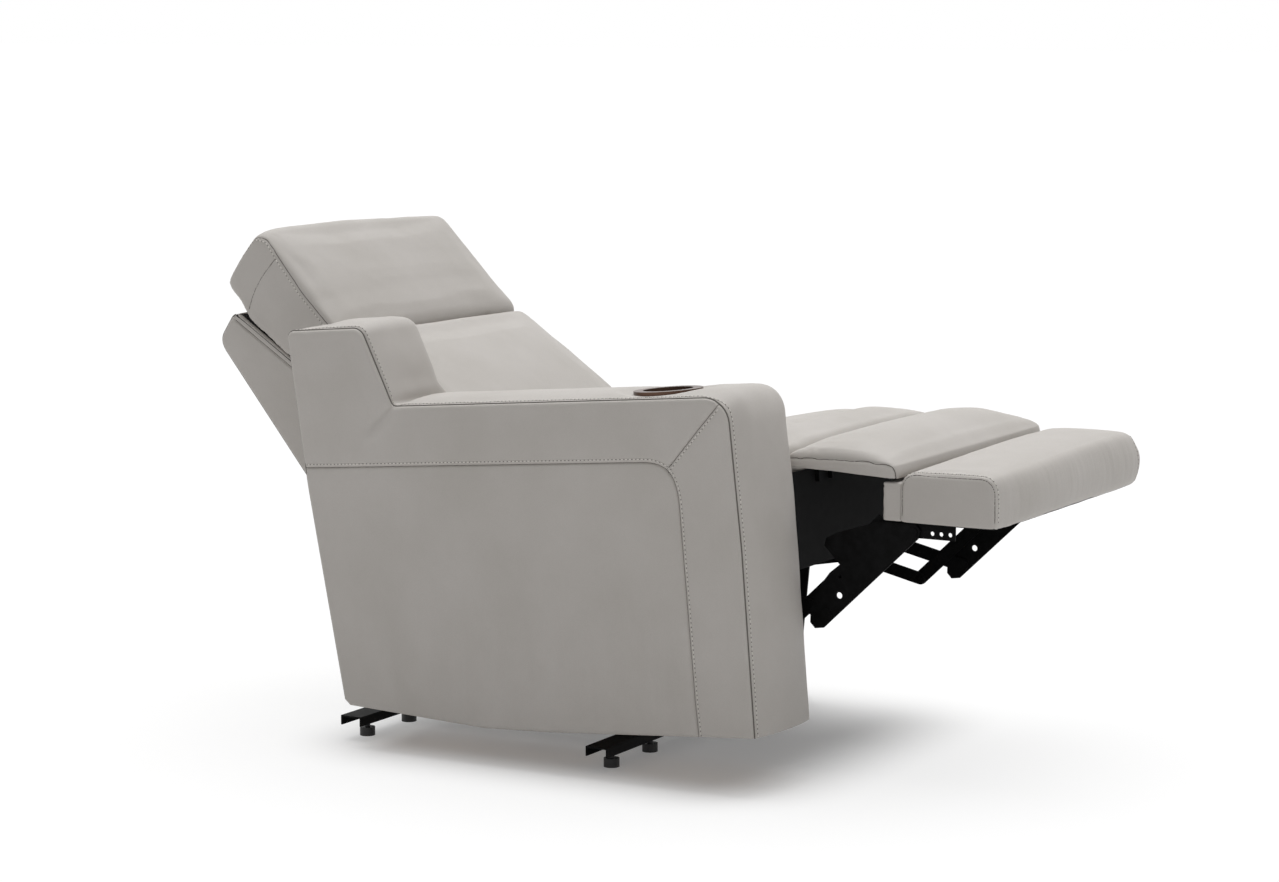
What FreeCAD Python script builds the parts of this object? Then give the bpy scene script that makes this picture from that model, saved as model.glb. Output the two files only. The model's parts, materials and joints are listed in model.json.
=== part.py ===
import FreeCAD, Part
import math
import os
import re
import Sketcher
from FreeCAD import Placement, Rotation, Vector

# Power recliner with one arm, shown reclined with its footrest out.
# Millimetres, +Z up, the chair faces -Y and its arm is on the -X side.

SIZES = {
    # Whole chair
    "arm_width": 214, "seat_gap": 8, "seat_width": 640, "origin_setback": 469.4,
    "arm_lift": 110, "carriage_pitch": 4.7,
    # Arm outline, measured from its front bottom corner
    "arm_height": 597, "wing_height": 739, "arm_length": 915,
    "notch_reach": "=arm_length - 216", "wing_front": "=arm_length - 144",
    "arm_rear_low": "=arm_length - 62", "arm_rear_rise": 51, "arm_flat": 420,
    "arm_curve_reach": 688, "arm_curve_rise": 21, "arm_end_rise": 40,
    "arm_corner": 45, "band_corner": 10, "wing_corner": 24, "panel_thick": 14, "band_thick": 16,
    "board_wall": 20, "fit_gap": 0.5, "soft_gap": 0.3,
    # Cup holder
    "cup_reach": 180, "cup_bore": 45, "cup_wall": 2.5, "cup_depth": 78,
    "cup_flange": 62, "flange_thick": 6.5,
    # Base
    "foot_radius": 14.5, "foot_height": 16, "stem_radius": 5, "cross_rail_low": 28,
    "cross_rail_tall": 18, "cross_rail_wide": 45, "cross_rail_start": 60,
    "front_rail_reach": 350, "rear_rail_reach": 883, "side_rail_tall": 32,
    "side_rail_wide": 25, "steel": 3, "outrigger_foot_x": 115, "inner_foot_x": 257,
    # Swing links
    "base_pivot_high": 62, "rear_pivot_reach": 700, "front_pivot_reach": 300,
    "swing_pivot_high": 200, "rear_base_reach": 786, "front_base_reach": 337,
    "swing_wide": 30, "swing_thick": 4, "swing_gap": 1.5, "pin_radius": 6,
    "swing_tube_radius": 11, "open_room": 3.4,
    # Footrest linkage in side view, forward and up from the arm corner
    "knee_reach": 33, "knee_high": 182, "lift_length": 210, "lift_angle": 18,
    "cross_offset": 43, "front_length": 230.4, "front_angle": 39, "rest_reach": 221.9,
    "rest_angle": 39.03, "lower_reach": 60, "link_thick": 3.5, "link_pitch": 4.3,
    "link_first": 243.5, "link_wide": 26, "plate_low": 15, "plate_high": 50,
    "plate_crest": 100, "plate_rise": 81, "plate_heel": 36, "rivet_radius": 5,
    "running_gap": 0.08, "head_radius": 9, "head_thick": 1.4,
    # Carriage
    "outer_plate_x": 236, "plate_thick": 3.5, "inner_plate_x": 261, "rail_low": 335,
    "rail_high": 372, "rail_front": 28, "rail_rear": 600, "cross_board": 45,
    "front_board_face": 10, "front_board_thick": 6, "front_board_low": 262,
    "front_board_high": 436, "strap_thick": 2, "strap_wide": 50, "strap_count": 7,
    # Seat cushion
    "seat_front": 8, "seat_rear": 530, "seat_edge_high": 462, "seat_high": 494,
    "seat_seam_reach": 125, "seat_crown": 12, "seat_fall": 64,
    # Back, up the back and forward from its pivot
    "back_reach": 640, "back_high": 331, "back_lean": 52.3, "shell_high": 710,
    "shell_top_deep": 62, "shell_break_high": 405, "shell_break_deep": 165,
    "shell_low": -30, "shell_low_deep": 302, "shell_wall": 4, "back_post": 40,
    "back_board": 39, "cushion_low": 28, "cushion_high": 469, "cushion_deep": 105,
    "back_crown": 14,
    # Headrest
    "head_pivot_high": 522, "head_pivot_deep": 80, "head_round": 46, "head_high": 748,
    "head_rear": 20, "head_top_deep": 171, "head_top_rear": 40, "head_low_deep": 112,
    "head_tube_radius": 6, "head_bracket_x": 108, "head_bracket_thick": 8,
    # Ottoman and calf pad, level, forward and up from the arm corner
    "ottoman_rear": 172, "ottoman_front": 352, "ottoman_low": 361, "ottoman_high": 452,
    "ottoman_round": 26, "pad_inset": 2, "board_thick": 10, "flap_deep": 26,
    "flap_low": 366, "flap_high": 428, "calf_rear": -33, "calf_front": 178,
    "calf_low": 449.5, "calf_seam": 463, "calf_high": 494, "calf_crown": 12,
    "hinge_reach": -2, "hinge_high": 440, "hinge_radius": 4, "hinge_pin": 2.5,
    "hinge_wide": 40, "hinge_from": 110, "hinge_leaf": 30,
    "hinge_sheet": 2, "knuckle_wide": 11.7, "knuckle_gap": 0.3,
    # Drives and controls
    "drive_rail_wide": 30, "drive_rail_tall": 22, "motor_long": 95, "motor_wide": 70,
    "motor_tall": 62, "slider_long": 60, "slider_wide": 44, "slider_tall": 16,
    "button_radius": 7, "button_long": 3.6, "button_pitch": 20, "panel_high": 530,
    "panel_reach": 300, "socket_radius": 5, "panel_plate": 3, "button_gap": 0.3,
    "button_travel": 1.5, "slide_gap": 0.3, "drive_spread": 60, "slider_front": 120,
    "slider_travel": 150, "low_rail": 45, "bracket_gap": 1.5, "back_frame_low": 40,
    "head_motor_low": 520, "cover_inset": 10, "cover_thick": 6, "cover_low": 272,
    "connector_reach": 300, "connector_long": 90, "connector_tall": 50,
    "connector_low": 300, "connector_thick": 3, "connector_pitch": 60,
    "connector_hole": 4.5, "power_wide": 70, "power_long": 100, "power_tall": 36,
    "power_gap": 8, "inlet_inset": 20, "inlet_deep": 10, "panel_margin": 20, "panel_tall": 36,
    "back_bracket_wide": 48, "back_bracket_below": 16, "back_bracket_front": 6,
    "back_bracket_up": 170, "back_rail_tall": 50, "head_rail_below": 40,
    "head_motor_wide": 50, "head_motor_deep": 44, "head_motor_tall": 60, "head_rod_wide": 24,
    "head_rod_deep": 14, "head_slider_wide": 40, "head_slider_deep": 21,
    "head_slider_tall": 36, "head_slider_rise": 90, "shell_foot_back": 180, "shell_drop": 22,
    "shell_step": 11, "barrel_long": 66.5, "barrel_inset": 5, "upper_gap": 8,
}

doc = FreeCAD.newDocument("recliner")
sheet = doc.addObject("Spreadsheet::Sheet", "Sizes")
for row, alias in enumerate(SIZES, start=1):
    sheet.setAlias(f"A{row}", alias)
for row, number in enumerate(SIZES.values(), start=1):
    sheet.set(f"A{row}", str(number))
doc.recompute()


class Numbers:
    """The sheet's values, read by name."""

    def __getattr__(self, alias):
        return float(sheet.get(alias))


s = Numbers()
parts = {}
count = 0


def bound(text):
    """Put the sheet's name before every alias in an expression."""
    return re.sub(r"[a-z][a-z_0-9]*", lambda hit: "Sizes." + hit.group(0)
                  if hit.group(0) in SIZES else hit.group(0), text)


def new(kind, hint="Piece"):
    global count
    count += 1
    return doc.addObject(kind, f"{hint}{count}")


def bind(obj, **expressions):
    for prop, text in expressions.items():
        if isinstance(text, str):
            obj.setExpression(prop, bound(text))
        else:
            setattr(obj, prop, text)
    return obj


def at(frame, x=0.0, y=0.0, z=0.0, turn=0.0):
    """A place in a frame: shifted, then turned about X."""
    return frame.multiply(Placement(Vector(x, y, z), Rotation(Vector(1, 0, 0), turn)))


def box(frame, corner, length, width, height):
    obj = bind(new("Part::Box", "Box"), Length=length, Width=width, Height=height)
    obj.Placement = at(frame, *corner)
    return obj


def rod(frame, corner, radius, length):
    """A cylinder that runs along +X."""
    obj = bind(new("Part::Cylinder", "Rod"), Radius=radius, Height=length)
    obj.Placement = at(frame, *corner).multiply(
        Placement(Vector(), Rotation(Vector(0, 1, 0), 90)))
    return obj


def post(frame, corner, radius, height):
    """A cylinder that runs along +Z."""
    obj = bind(new("Part::Cylinder", "Post"), Radius=radius, Height=height)
    obj.Placement = at(frame, *corner)
    return obj


def fuse(*objects):
    obj = new("Part::MultiFuse", "Fuse")
    obj.Shapes = list(objects)
    return obj


def cut(base, *tools):
    obj = new("Part::Cut", "Cut")
    obj.Base = base
    obj.Tool = tools[0] if len(tools) == 1 else fuse(*tools)
    return obj


def group(*objects):
    obj = new("Part::Compound", "Group")
    obj.Links = list(objects)
    return obj


def name(label, obj):
    obj.Label = label
    parts[label] = obj
    return obj


def outline_sketch(body, hint, points):
    """A closed outline in the YZ plane, each corner held by two distances."""
    sketch = body.newObject("Sketcher::SketchObject", hint)
    plane = [f for f in body.Origin.OriginFeatures if f.Role == "YZ_Plane"][0]
    sketch.AttachmentSupport = (plane, [""])
    sketch.MapMode = "FlatFace"
    total = len(points)
    for i in range(total):
        turn = 2 * math.pi * i / total
        after = 2 * math.pi * (i + 1) / total
        sketch.addGeometry(Part.LineSegment(
            Vector(300 * math.cos(turn), 300 * math.sin(turn), 0),
            Vector(300 * math.cos(after), 300 * math.sin(after), 0)))
    for i in range(total):
        sketch.addConstraint(Sketcher.Constraint("Coincident", i, 2, (i + 1) % total, 1))
    for i, (across, up) in enumerate(points):
        for kind, text, axis in (("DistanceX", across, -2), ("DistanceY", up, -1)):
            if text == "0":
                sketch.addConstraint(Sketcher.Constraint("PointOnObject", i, 1, axis))
                continue
            index = sketch.addConstraint(Sketcher.Constraint(kind, -1, 1, i, 1, 50.0))
            sketch.setExpression(f"Constraints[{index}]", bound(text))
    doc.recompute()
    return sketch


def corner_edges(shape, spot):
    """The names of the edges along X that pass through a corner of the outline."""
    found = []
    for i, edge in enumerate(shape.Edges, start=1):
        ends = [v.Point for v in edge.Vertexes]
        if len(ends) == 2 and all(abs(e.y - spot.x) < 1e-4 and abs(e.z - spot.y) < 1e-4
                                  for e in ends):
            found.append(f"Edge{i}")
    return found


def outline_body(frame, x, points, thick, rounds=()):
    """A plate of the given outline, padded along +X from x, with rounded corners."""
    body = new("PartDesign::Body", "Plate")
    sketch = outline_sketch(body, f"Outline{count}", points)
    pad = body.newObject("PartDesign::Pad", f"Pad{count}")
    pad.Profile = sketch
    bind(pad, Length=thick)
    doc.recompute()
    spots = [sketch.Geometry[i].StartPoint for i in range(len(points))]
    for corner, radius in rounds:
        tip = body.Tip
        fillet = body.newObject("PartDesign::Fillet", f"Round{count}_{corner}")
        fillet.Base = (tip, corner_edges(tip.Shape, spots[corner]))
        bind(fillet, Radius=radius)
        doc.recompute()
    body.Placement = at(frame, x)
    return body


def soft_wire(x, corners):
    """A closed section at x. Each corner is (y, z, radius, bulge of the next edge).

    The rounded corners are arcs that run smoothly into their edges.
    """
    total = len(corners)
    spots = [Vector(x, c[0], c[1]) for c in corners]
    middle = sum(spots, Vector()) * (1.0 / total)
    starts, mids, ends = [], [], []
    for i, spot in enumerate(spots):
        back = spots[i - 1] - spot
        ahead = spots[(i + 1) % total] - spot
        radius = min(corners[i][2], 0.45 * back.Length, 0.45 * ahead.Length)
        half = back.getAngle(ahead) / 2
        start = spot + back.normalize() * radius
        end = spot + ahead.normalize() * radius
        starts.append(start)
        ends.append(end)
        chord = (start + end) * 0.5
        mids.append(spot + (chord - spot) * (1 / (1 + math.sin(half))))
    edges = []
    for i in range(total):
        edges.append(Part.Arc(starts[i], mids[i], ends[i]).toShape())
        first, last = ends[i], starts[(i + 1) % total]
        bulge = corners[i][3]
        if bulge:
            along = (last - first).normalize()
            out = Vector(0, along.z, -along.y)
            centre = (first + last) * 0.5
            if (centre - middle).dot(out) < 0:
                out = out * -1
            edges.append(Part.Arc(first, centre + out * bulge, last).toShape())
        else:
            edges.append(Part.LineSegment(first, last).toShape())
    return Part.Wire(edges)


# Where the sections of a pad stand, as shares of its width, and how full each is
PAD_STEPS = ((0.0, 0.0), (0.008, 0.3), (0.025, 0.55), (0.07, 0.75), (0.18, 0.92), (0.5, 1.0),
             (0.82, 0.92), (0.93, 0.75), (0.975, 0.55), (0.992, 0.3), (1.0, 0.0))


def soft_pad(frame, x, width, edge, full):
    """A pad that swells from its side outline to its full outline in the middle."""
    wires = []
    for share, fill in PAD_STEPS:
        corners = [tuple(a + (b - a) * fill for a, b in zip(side, mid))
                   for side, mid in zip(edge, full)]
        wires.append(soft_wire(x + share * width, corners))
    obj = new("Part::Feature", "Pad")
    obj.Shape = Part.makeLoft(wires, True, True)
    obj.Placement = frame
    return obj


# Frames
total_width = s.arm_width + s.seat_gap + s.seat_width
corner_spot = Vector(-total_width / 2, -s.origin_setback, s.arm_lift)
LEVEL = Placement(corner_spot, Rotation())
FLOOR = Placement(Vector(corner_spot.x, corner_spot.y, 0), Rotation())
CARRIAGE = Placement(corner_spot, Rotation(Vector(1, 0, 0), -s.carriage_pitch))
BACK = at(CARRIAGE, 0, s.back_reach, s.back_high, -s.back_lean)
seat_near = s.arm_width + s.seat_gap
seat_far = seat_near + s.seat_width
seat_mid = (seat_near + seat_far) / 2


def both(x, thick):
    """A near place and its mirror place about the middle of the seat."""
    return (x, 2 * seat_mid - x - thick)


def polar(angle, reach):
    """A step in side view, as (y, z), from its angle above forward."""
    turn = math.radians(angle)
    return (-reach * math.cos(turn), reach * math.sin(turn))


def plus(a, b):
    return (a[0] + b[0], a[1] + b[1])


# Joint places in side view, as (y, z) in the carriage
knee = (-s.knee_reach, s.knee_high)
lift_pivot = plus(knee, polar(180 - s.lift_angle, s.lift_length))
cross_pivot = plus(knee, polar(180 - s.lift_angle, s.cross_offset))
front_tip = plus(knee, polar(s.front_angle, s.front_length))
rest_tip = plus(cross_pivot, polar(s.rest_angle, s.rest_reach))
lower_tip = plus(cross_pivot, polar(s.rest_angle + 180, s.lower_reach))
lower_pivot = plus(lift_pivot, (lower_tip[0] - cross_pivot[0], lower_tip[1] - cross_pivot[1]))
layer = [s.link_first + i * s.link_pitch for i in range(4)]


# Base
def cross_rail(reach):
    length = seat_far - s.outer_plate_x + seat_near - s.cross_rail_start
    y = reach - s.cross_rail_wide / 2
    outer = box(FLOOR, (s.cross_rail_start, y, s.cross_rail_low),
                length, "cross_rail_wide", "cross_rail_tall")
    hollow = box(FLOOR, (s.cross_rail_start - 1, y + s.steel, s.cross_rail_low - 1),
                 length + 2, "cross_rail_wide - 2 * steel", "cross_rail_tall - steel + 1")
    return cut(outer, hollow)


name("base_front_cross_rail", cross_rail(s.front_rail_reach))
name("base_rear_cross_rail", cross_rail(s.rear_rail_reach))

swing_x = s.inner_plate_x + s.plate_thick + s.swing_gap
side_rail_x = swing_x + s.swing_thick + s.swing_gap
side_rail_low = s.cross_rail_low + s.cross_rail_tall
front_base = (s.front_base_reach, s.base_pivot_high)
rear_base = (s.rear_base_reach, s.base_pivot_high)


def side_rails():
    solids = []
    start = s.front_base_reach - s.cross_rail_wide / 2
    length = "rear_rail_reach - front_base_reach + cross_rail_wide"
    reach = side_rail_x + s.steel - swing_x
    for side, web in ((0, s.steel), (1, -s.steel)):
        x = both(side_rail_x, s.side_rail_wide)[side]
        outer = box(FLOOR, (x, start, side_rail_low), "side_rail_wide", length,
                    "side_rail_tall")
        hollow = box(FLOOR, (x + web, start - 1, side_rail_low + s.steel),
                     "side_rail_wide", length + " + 2", "side_rail_tall - 2 * steel")
        pins = [rod(FLOOR, (both(swing_x, reach)[side], y, z), "pin_radius", reach)
                for y, z in (front_base, rear_base)]
        solids.append(fuse(cut(outer, hollow), *pins))
    return group(*solids)


name("base_side_rails", side_rails())


def feet():
    solids = []
    inner = s.inner_foot_x
    for y in (s.front_rail_reach, s.rear_rail_reach):
        for x in (s.outrigger_foot_x, inner, 2 * seat_mid - inner):
            pad = post(FLOOR, (x, y, 0), "foot_radius", "foot_height")
            stem = post(FLOOR, (x, y, 0), "stem_radius",
                        "cross_rail_low + cross_rail_tall - steel")
            solids.append(fuse(pad, stem))
    return group(*solids)


name("base_feet", feet())


# Links
def bar(frame, x, start, end, wide, thick, holes, lobes=()):
    """A flat bar with round ends between two places in side view.

    Holes are (forward, up, radius) and lobes are (forward, up, length, width) boxes,
    measured along the bar from its start.
    """
    angle = math.degrees(math.atan2(end[1] - start[1], start[0] - end[0]))
    length = math.dist(start, end)
    own = at(frame, x, start[0], start[1], -angle)
    half = wide / 2
    pieces = [box(own, (0, -length, -half), thick, length, wide),
              rod(own, (0, 0, 0), half, thick), rod(own, (0, -length, 0), half, thick)]
    for forward, up, long, high in lobes:
        pieces.append(box(own, (0, -forward - long, up), thick, long, high))
    cuts = [rod(own, (-1, -forward, up), radius, s.swing_thick + 2)
            for forward, up, radius in holes]
    return cut(fuse(*pieces), *cuts)


def level_spot(y, z):
    """A place of the carriage, in side view, as the floor sees it."""
    spot = CARRIAGE.multVec(Vector(0, y, z))
    return (spot.y - corner_spot.y, spot.z)


def swing_links(base, top, room=0.0):
    """A pair of links. Room widens the top holes, where the loop is open."""
    length = math.dist(base, top)
    hole = s.pin_radius + s.running_gap
    holes = ((0, 0, hole), (length, 0, hole + room))
    return [bar(FLOOR, x, base, top, s.swing_wide, s.swing_thick, holes)
            for x in both(swing_x, s.swing_thick)]


rear_top = level_spot(s.rear_pivot_reach, s.swing_pivot_high)
front_top = level_spot(s.front_pivot_reach, s.swing_pivot_high)
name("rear_swing_links", group(*swing_links(rear_base, rear_top)))
name("front_swing_links", group(*swing_links(front_base, front_top,
                                                      s.open_room)))
tube_start = swing_x + s.swing_thick
tube_length = 2 * (seat_mid - tube_start)
tube_spot = ((rear_base[0] + rear_top[0]) / 2, (rear_base[1] + rear_top[1]) / 2)
name("swing_cross_tube", rod(FLOOR, (tube_start, *tube_spot), "swing_tube_radius",
                             tube_length))


# Footrest linkage
thick = s.link_thick
rivet = s.rivet_radius
hole = rivet + s.running_gap


def on_side(side, x, length):
    return both(x, length)[side]


def lift_link(side):
    """The long link on the carriage, with the rivets of its two partners."""
    length = s.lift_length
    cross = length - s.cross_offset
    link = bar(CARRIAGE, on_side(side, layer[1], thick), lift_pivot, knee, s.link_wide,
               thick, ((0, 0, s.pin_radius + s.running_gap),))
    shank = layer[1] - layer[0] + 0.4
    knee_rivet = rod(CARRIAGE, (on_side(side, layer[0] - 0.4, shank), *knee), rivet, shank)
    head = rod(CARRIAGE, (on_side(side, layer[0] - 0.4 - s.head_thick, s.head_thick), *knee),
               "head_radius", "head_thick")
    reach = layer[2] + thick - layer[1]
    cross_rivet = rod(CARRIAGE, (on_side(side, layer[1], reach), *cross_pivot), rivet, reach)
    return fuse(link, knee_rivet, head, cross_rivet)


name("lift_links", group(*[lift_link(side) for side in (0, 1)]))


def front_link(side):
    """The plate that carries the ottoman, its upper edge raised over its middle.

    Its outline is in its own frame, with y backwards along it from the knee.
    """
    angle = math.degrees(math.atan2(front_tip[1] - knee[1], knee[0] - front_tip[0]))
    own = at(CARRIAGE, 0, knee[0], knee[1], -angle)
    x = on_side(side, layer[0], thick)
    outline = [("plate_heel - 14", "-plate_low"), ("plate_heel", "-plate_low / 3"),
               ("plate_heel", "plate_low * 0.6"), ("plate_heel - 16", "plate_high / 2"),
               ("-12", "plate_high - 7"), ("25 - plate_rise", "plate_high"),
               ("-plate_rise", "plate_high - 2"), ("-plate_rise", "plate_crest - 8"),
               ("-plate_rise - 12", "plate_crest"), ("-plate_rise - 38", "plate_crest - 8"),
               ("38 - front_length", "plate_high + 6"), ("10 - front_length", "plate_low * 2"),
               ("-front_length - 14", "plate_low / 2"), ("-front_length - 14", "-plate_low / 2"),
               ("-front_length", "-plate_low")]
    plate = outline_body(own, x, outline, "link_thick")
    cuts = [rod(own, (x - 1, -forward, up), radius, thick + 2) for forward, up, radius in
            ((0, 0, hole), (s.front_length, 0, hole), (42, 8, 6), (66, 31, 3))]
    return cut(plate, *cuts)


name("front_links", group(*[front_link(side) for side in (0, 1)]))


def cross_link(side):
    """The boomerang link behind, crossing the lift link, with its stiffening rod."""
    x = on_side(side, layer[2], thick)
    length = s.lower_reach + s.rest_reach
    mid = s.lower_reach
    lobes = ((mid + 112, 0, length - mid - 112, 30),)
    holes = ((mid, 0, hole),)
    link = bar(CARRIAGE, x, lower_tip, rest_tip, s.link_wide, thick, holes, lobes)
    reach = layer[3] + thick - layer[2]
    lower_rivet = rod(CARRIAGE, (on_side(side, layer[2], reach), *lower_tip), rivet, reach)
    return fuse(link, lower_rivet)


name("cross_links", group(*[cross_link(side) for side in (0, 1)]))


def lower_link(side):
    """The short link under the lift link. Its front hole has room for the open pivot."""
    length = math.dist(lower_pivot, lower_tip)
    holes = ((0, 0, hole), (length, 0, rivet + 1.5))
    return bar(CARRIAGE, on_side(side, layer[3], thick), lower_pivot, lower_tip,
               s.link_wide - 2, thick, holes)


name("lower_links", group(*[lower_link(side) for side in (0, 1)]))


# Ottoman
def level_of(spot):
    """A carriage place in side view, as the level ottoman sees it."""
    y, z = level_spot(*spot)
    return (y, z - s.arm_lift)


front_level = level_of(front_tip)
rest_level = level_of(rest_tip)


def ottoman_bracket(side):
    x = on_side(side, layer[1], thick)
    back = rest_level[0] + 12
    ahead = -s.ottoman_rear - 92
    low = front_level[1] - 10
    plate = box(LEVEL, (x, ahead, low), thick, back - ahead, "ottoman_low - " + str(round(low, 3)))
    holes = [rod(LEVEL, (x - 1, ahead + 10 + 17 * i, low + 10), 4, thick + 2)
             for i in range(3)]
    flange_wide = 22
    flange_x = x + thick if side == 0 else x - flange_wide
    flange = box(LEVEL, (flange_x, ahead, s.ottoman_low - s.steel), flange_wide,
                 -s.ottoman_rear - ahead - 4, "steel")
    shank = layer[1] - layer[0] + 0.4
    pivot = rod(LEVEL, (on_side(side, layer[0] - 0.4, shank), *front_level), rivet, shank)
    head = rod(LEVEL, (on_side(side, layer[0] - 0.4 - s.head_thick, s.head_thick),
                       *front_level), "head_radius", "head_thick")
    return fuse(cut(plate, *holes), flange, pivot, head)


name("ottoman_brackets", group(*[ottoman_bracket(side) for side in (0, 1)]))
pad_near = seat_near + s.pad_inset
pad_width = s.seat_width - 2 * s.pad_inset
board_inset = 6
name("ottoman_board", box(LEVEL, (pad_near + board_inset, -s.ottoman_front + board_inset,
                                  s.ottoman_low),
                          "seat_width - 2 * pad_inset - 12",
                          "ottoman_front - ottoman_rear - 12", "board_thick"))
pad_low = s.ottoman_low + s.board_thick + s.soft_gap
ottoman_edge = ((-s.ottoman_rear, pad_low, 3, 0),
                (-s.ottoman_rear, s.ottoman_high - 5, s.ottoman_round, 0),
                (-s.ottoman_front + 6, s.ottoman_high - 5, s.ottoman_round, 0),
                (-s.ottoman_front + 6, pad_low, 3, 0))
ottoman_full = ((-s.ottoman_rear, pad_low, 3, 0),
                (-s.ottoman_rear, s.ottoman_high, s.ottoman_round, 3),
                (-s.ottoman_front, s.ottoman_high, s.ottoman_round, 2),
                (-s.ottoman_front, pad_low, 3, 0))
name("ottoman_cushion", soft_pad(LEVEL, pad_near, pad_width, ottoman_edge, ottoman_full))
name("ottoman_flap", box(LEVEL, (pad_near + 4, s.soft_gap - s.ottoman_rear, s.flap_low + 8),
                         "seat_width - 2 * pad_inset - 8", "flap_deep",
                         "flap_high - flap_low - 8"))

# Calf pad
calf_board_low = s.calf_low - s.board_thick + 1
calf_hinge = level_of((-s.hinge_reach, s.hinge_high))
name("calf_board", box(LEVEL, (pad_near + 8, -s.calf_front + 14, calf_board_low),
                       "seat_width - 2 * pad_inset - 16",
                       "calf_front - calf_rear - 24", "board_thick - 1"))
calf_seat = s.calf_low + s.soft_gap
calf_edge = ((-s.calf_rear, calf_seat, 4, 0), (-s.calf_rear, s.calf_seam, 8, 0),
             (-s.calf_front + 18, s.calf_seam, 10, 0), (-s.calf_front + 4, calf_seat, 3, 0))
calf_full = ((-s.calf_rear, calf_seat, 4, 0), (-s.calf_rear - 3, s.calf_high, 26, s.calf_crown),
             (-s.calf_front + 38, s.calf_high - 16, 34, 3), (-s.calf_front, calf_seat, 3, 0))
name("calf_cushion", soft_pad(LEVEL, pad_near, pad_width, calf_edge, calf_full))


# The hinges between the seat and the calf pad
def calf_hinges(on_pad):
    """Barrels under the calf pad, or the leaves and pins that carry them."""
    solids = []
    y, z = calf_hinge
    for x in (s.hinge_from, s.seat_width - s.hinge_from - s.hinge_wide):
        start = seat_near + x
        if on_pad:
            barrel = rod(LEVEL, (start, y, z), "hinge_radius", "hinge_wide")
            leaf = box(LEVEL, (start, y - s.hinge_leaf, calf_board_low - s.hinge_sheet),
                       "hinge_wide", "hinge_leaf", "hinge_sheet")
            bore = rod(LEVEL, (start - 1, y, z), s.hinge_pin + s.running_gap,
                       "hinge_wide + 2")
            solids.append(cut(fuse(barrel, leaf), bore))
            continue
        spot = (-s.hinge_reach, s.hinge_high)
        low = s.hinge_high - s.hinge_leaf
        first = start - s.knuckle_gap - s.knuckle_wide
        pieces = [rod(CARRIAGE, (first, *spot), "hinge_pin",
                      "hinge_wide + 2 * knuckle_gap + 2 * knuckle_wide")]
        for knuckle in (first, start + s.hinge_wide + s.knuckle_gap):
            pieces.append(rod(CARRIAGE, (knuckle, *spot), "hinge_radius", "knuckle_wide"))
            pieces.append(box(CARRIAGE, (knuckle, spot[0], low), "knuckle_wide",
                              "front_board_face + hinge_reach",
                              "hinge_leaf - hinge_sheet"))
        solids.append(fuse(*pieces))
    return group(*solids)


name("calf_hinge_barrels", calf_hinges(True))
name("calf_hinge_leaves", calf_hinges(False))


# Carriage
def outer_plate(side):
    """The plate outside the seat rail, with the lift link's pivot and the back's."""
    x = on_side(side, s.outer_plate_x, s.plate_thick)
    y, z = lift_pivot
    points = [(f"{y:.4f} - 24", "rail_high"), (f"{y:.4f} - 24", f"{z:.4f} - 6"),
              (f"{y:.4f} - 8", f"{z:.4f} - 20"), (f"{y:.4f} + 12", f"{z:.4f} - 20"),
              (f"{y:.4f} + 34", "rail_low"), ("back_reach - 40", "rail_low"),
              ("back_reach - 12", "back_high - 15"), ("back_reach + 12", "back_high - 13"),
              ("back_reach + 12", "back_high"), ("back_reach + 8", "back_high + 10"),
              ("back_reach - 12", "back_high + 12"), ("rail_rear", "rail_high")]
    plate = outline_body(CARRIAGE, x, points, "plate_thick")
    reach = layer[1] + thick - s.outer_plate_x
    pin = rod(CARRIAGE, (on_side(side, s.outer_plate_x, reach), *lift_pivot), "pin_radius",
              reach)
    bore = rod(CARRIAGE, (x - 1, s.back_reach, s.back_high), s.pin_radius + s.running_gap,
               "plate_thick + 2")
    return fuse(cut(plate, bore), pin)


def inner_plate(side):
    """The plate inside the seat rail, with the lower link's pivot and the swing pins."""
    x = on_side(side, s.inner_plate_x, s.plate_thick)
    y, z = lower_pivot
    points = [(f"{y:.4f} - 30", "rail_high"), (f"{y:.4f} - 16", f"{z:.4f} - 18"),
              (f"{y:.4f} + 16", f"{z:.4f} - 20"),
              ("front_pivot_reach + 22", "swing_pivot_high - 20"),
              ("front_pivot_reach + 60", "rail_low - 40"),
              ("rear_pivot_reach - 110", "rail_low - 40"),
              ("rear_pivot_reach - 24", "swing_pivot_high - 24"),
              ("rear_pivot_reach + 22", "swing_pivot_high - 20"),
              ("rear_pivot_reach + 26", "swing_pivot_high + 16"),
              ("rail_rear", "rail_high")]
    plate = outline_body(CARRIAGE, x, points, "plate_thick")
    reach = s.inner_plate_x - layer[3]
    lower = rod(CARRIAGE, (on_side(side, layer[3], reach + 1), *lower_pivot), rivet, reach + 1)
    pins = []
    reach = swing_x + s.swing_thick - s.inner_plate_x
    for y in (s.front_pivot_reach, s.rear_pivot_reach):
        pins.append(rod(CARRIAGE, (on_side(side, s.inner_plate_x, reach), y,
                                   s.swing_pivot_high), "pin_radius", reach))
    return fuse(plate, lower, *pins)


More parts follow.
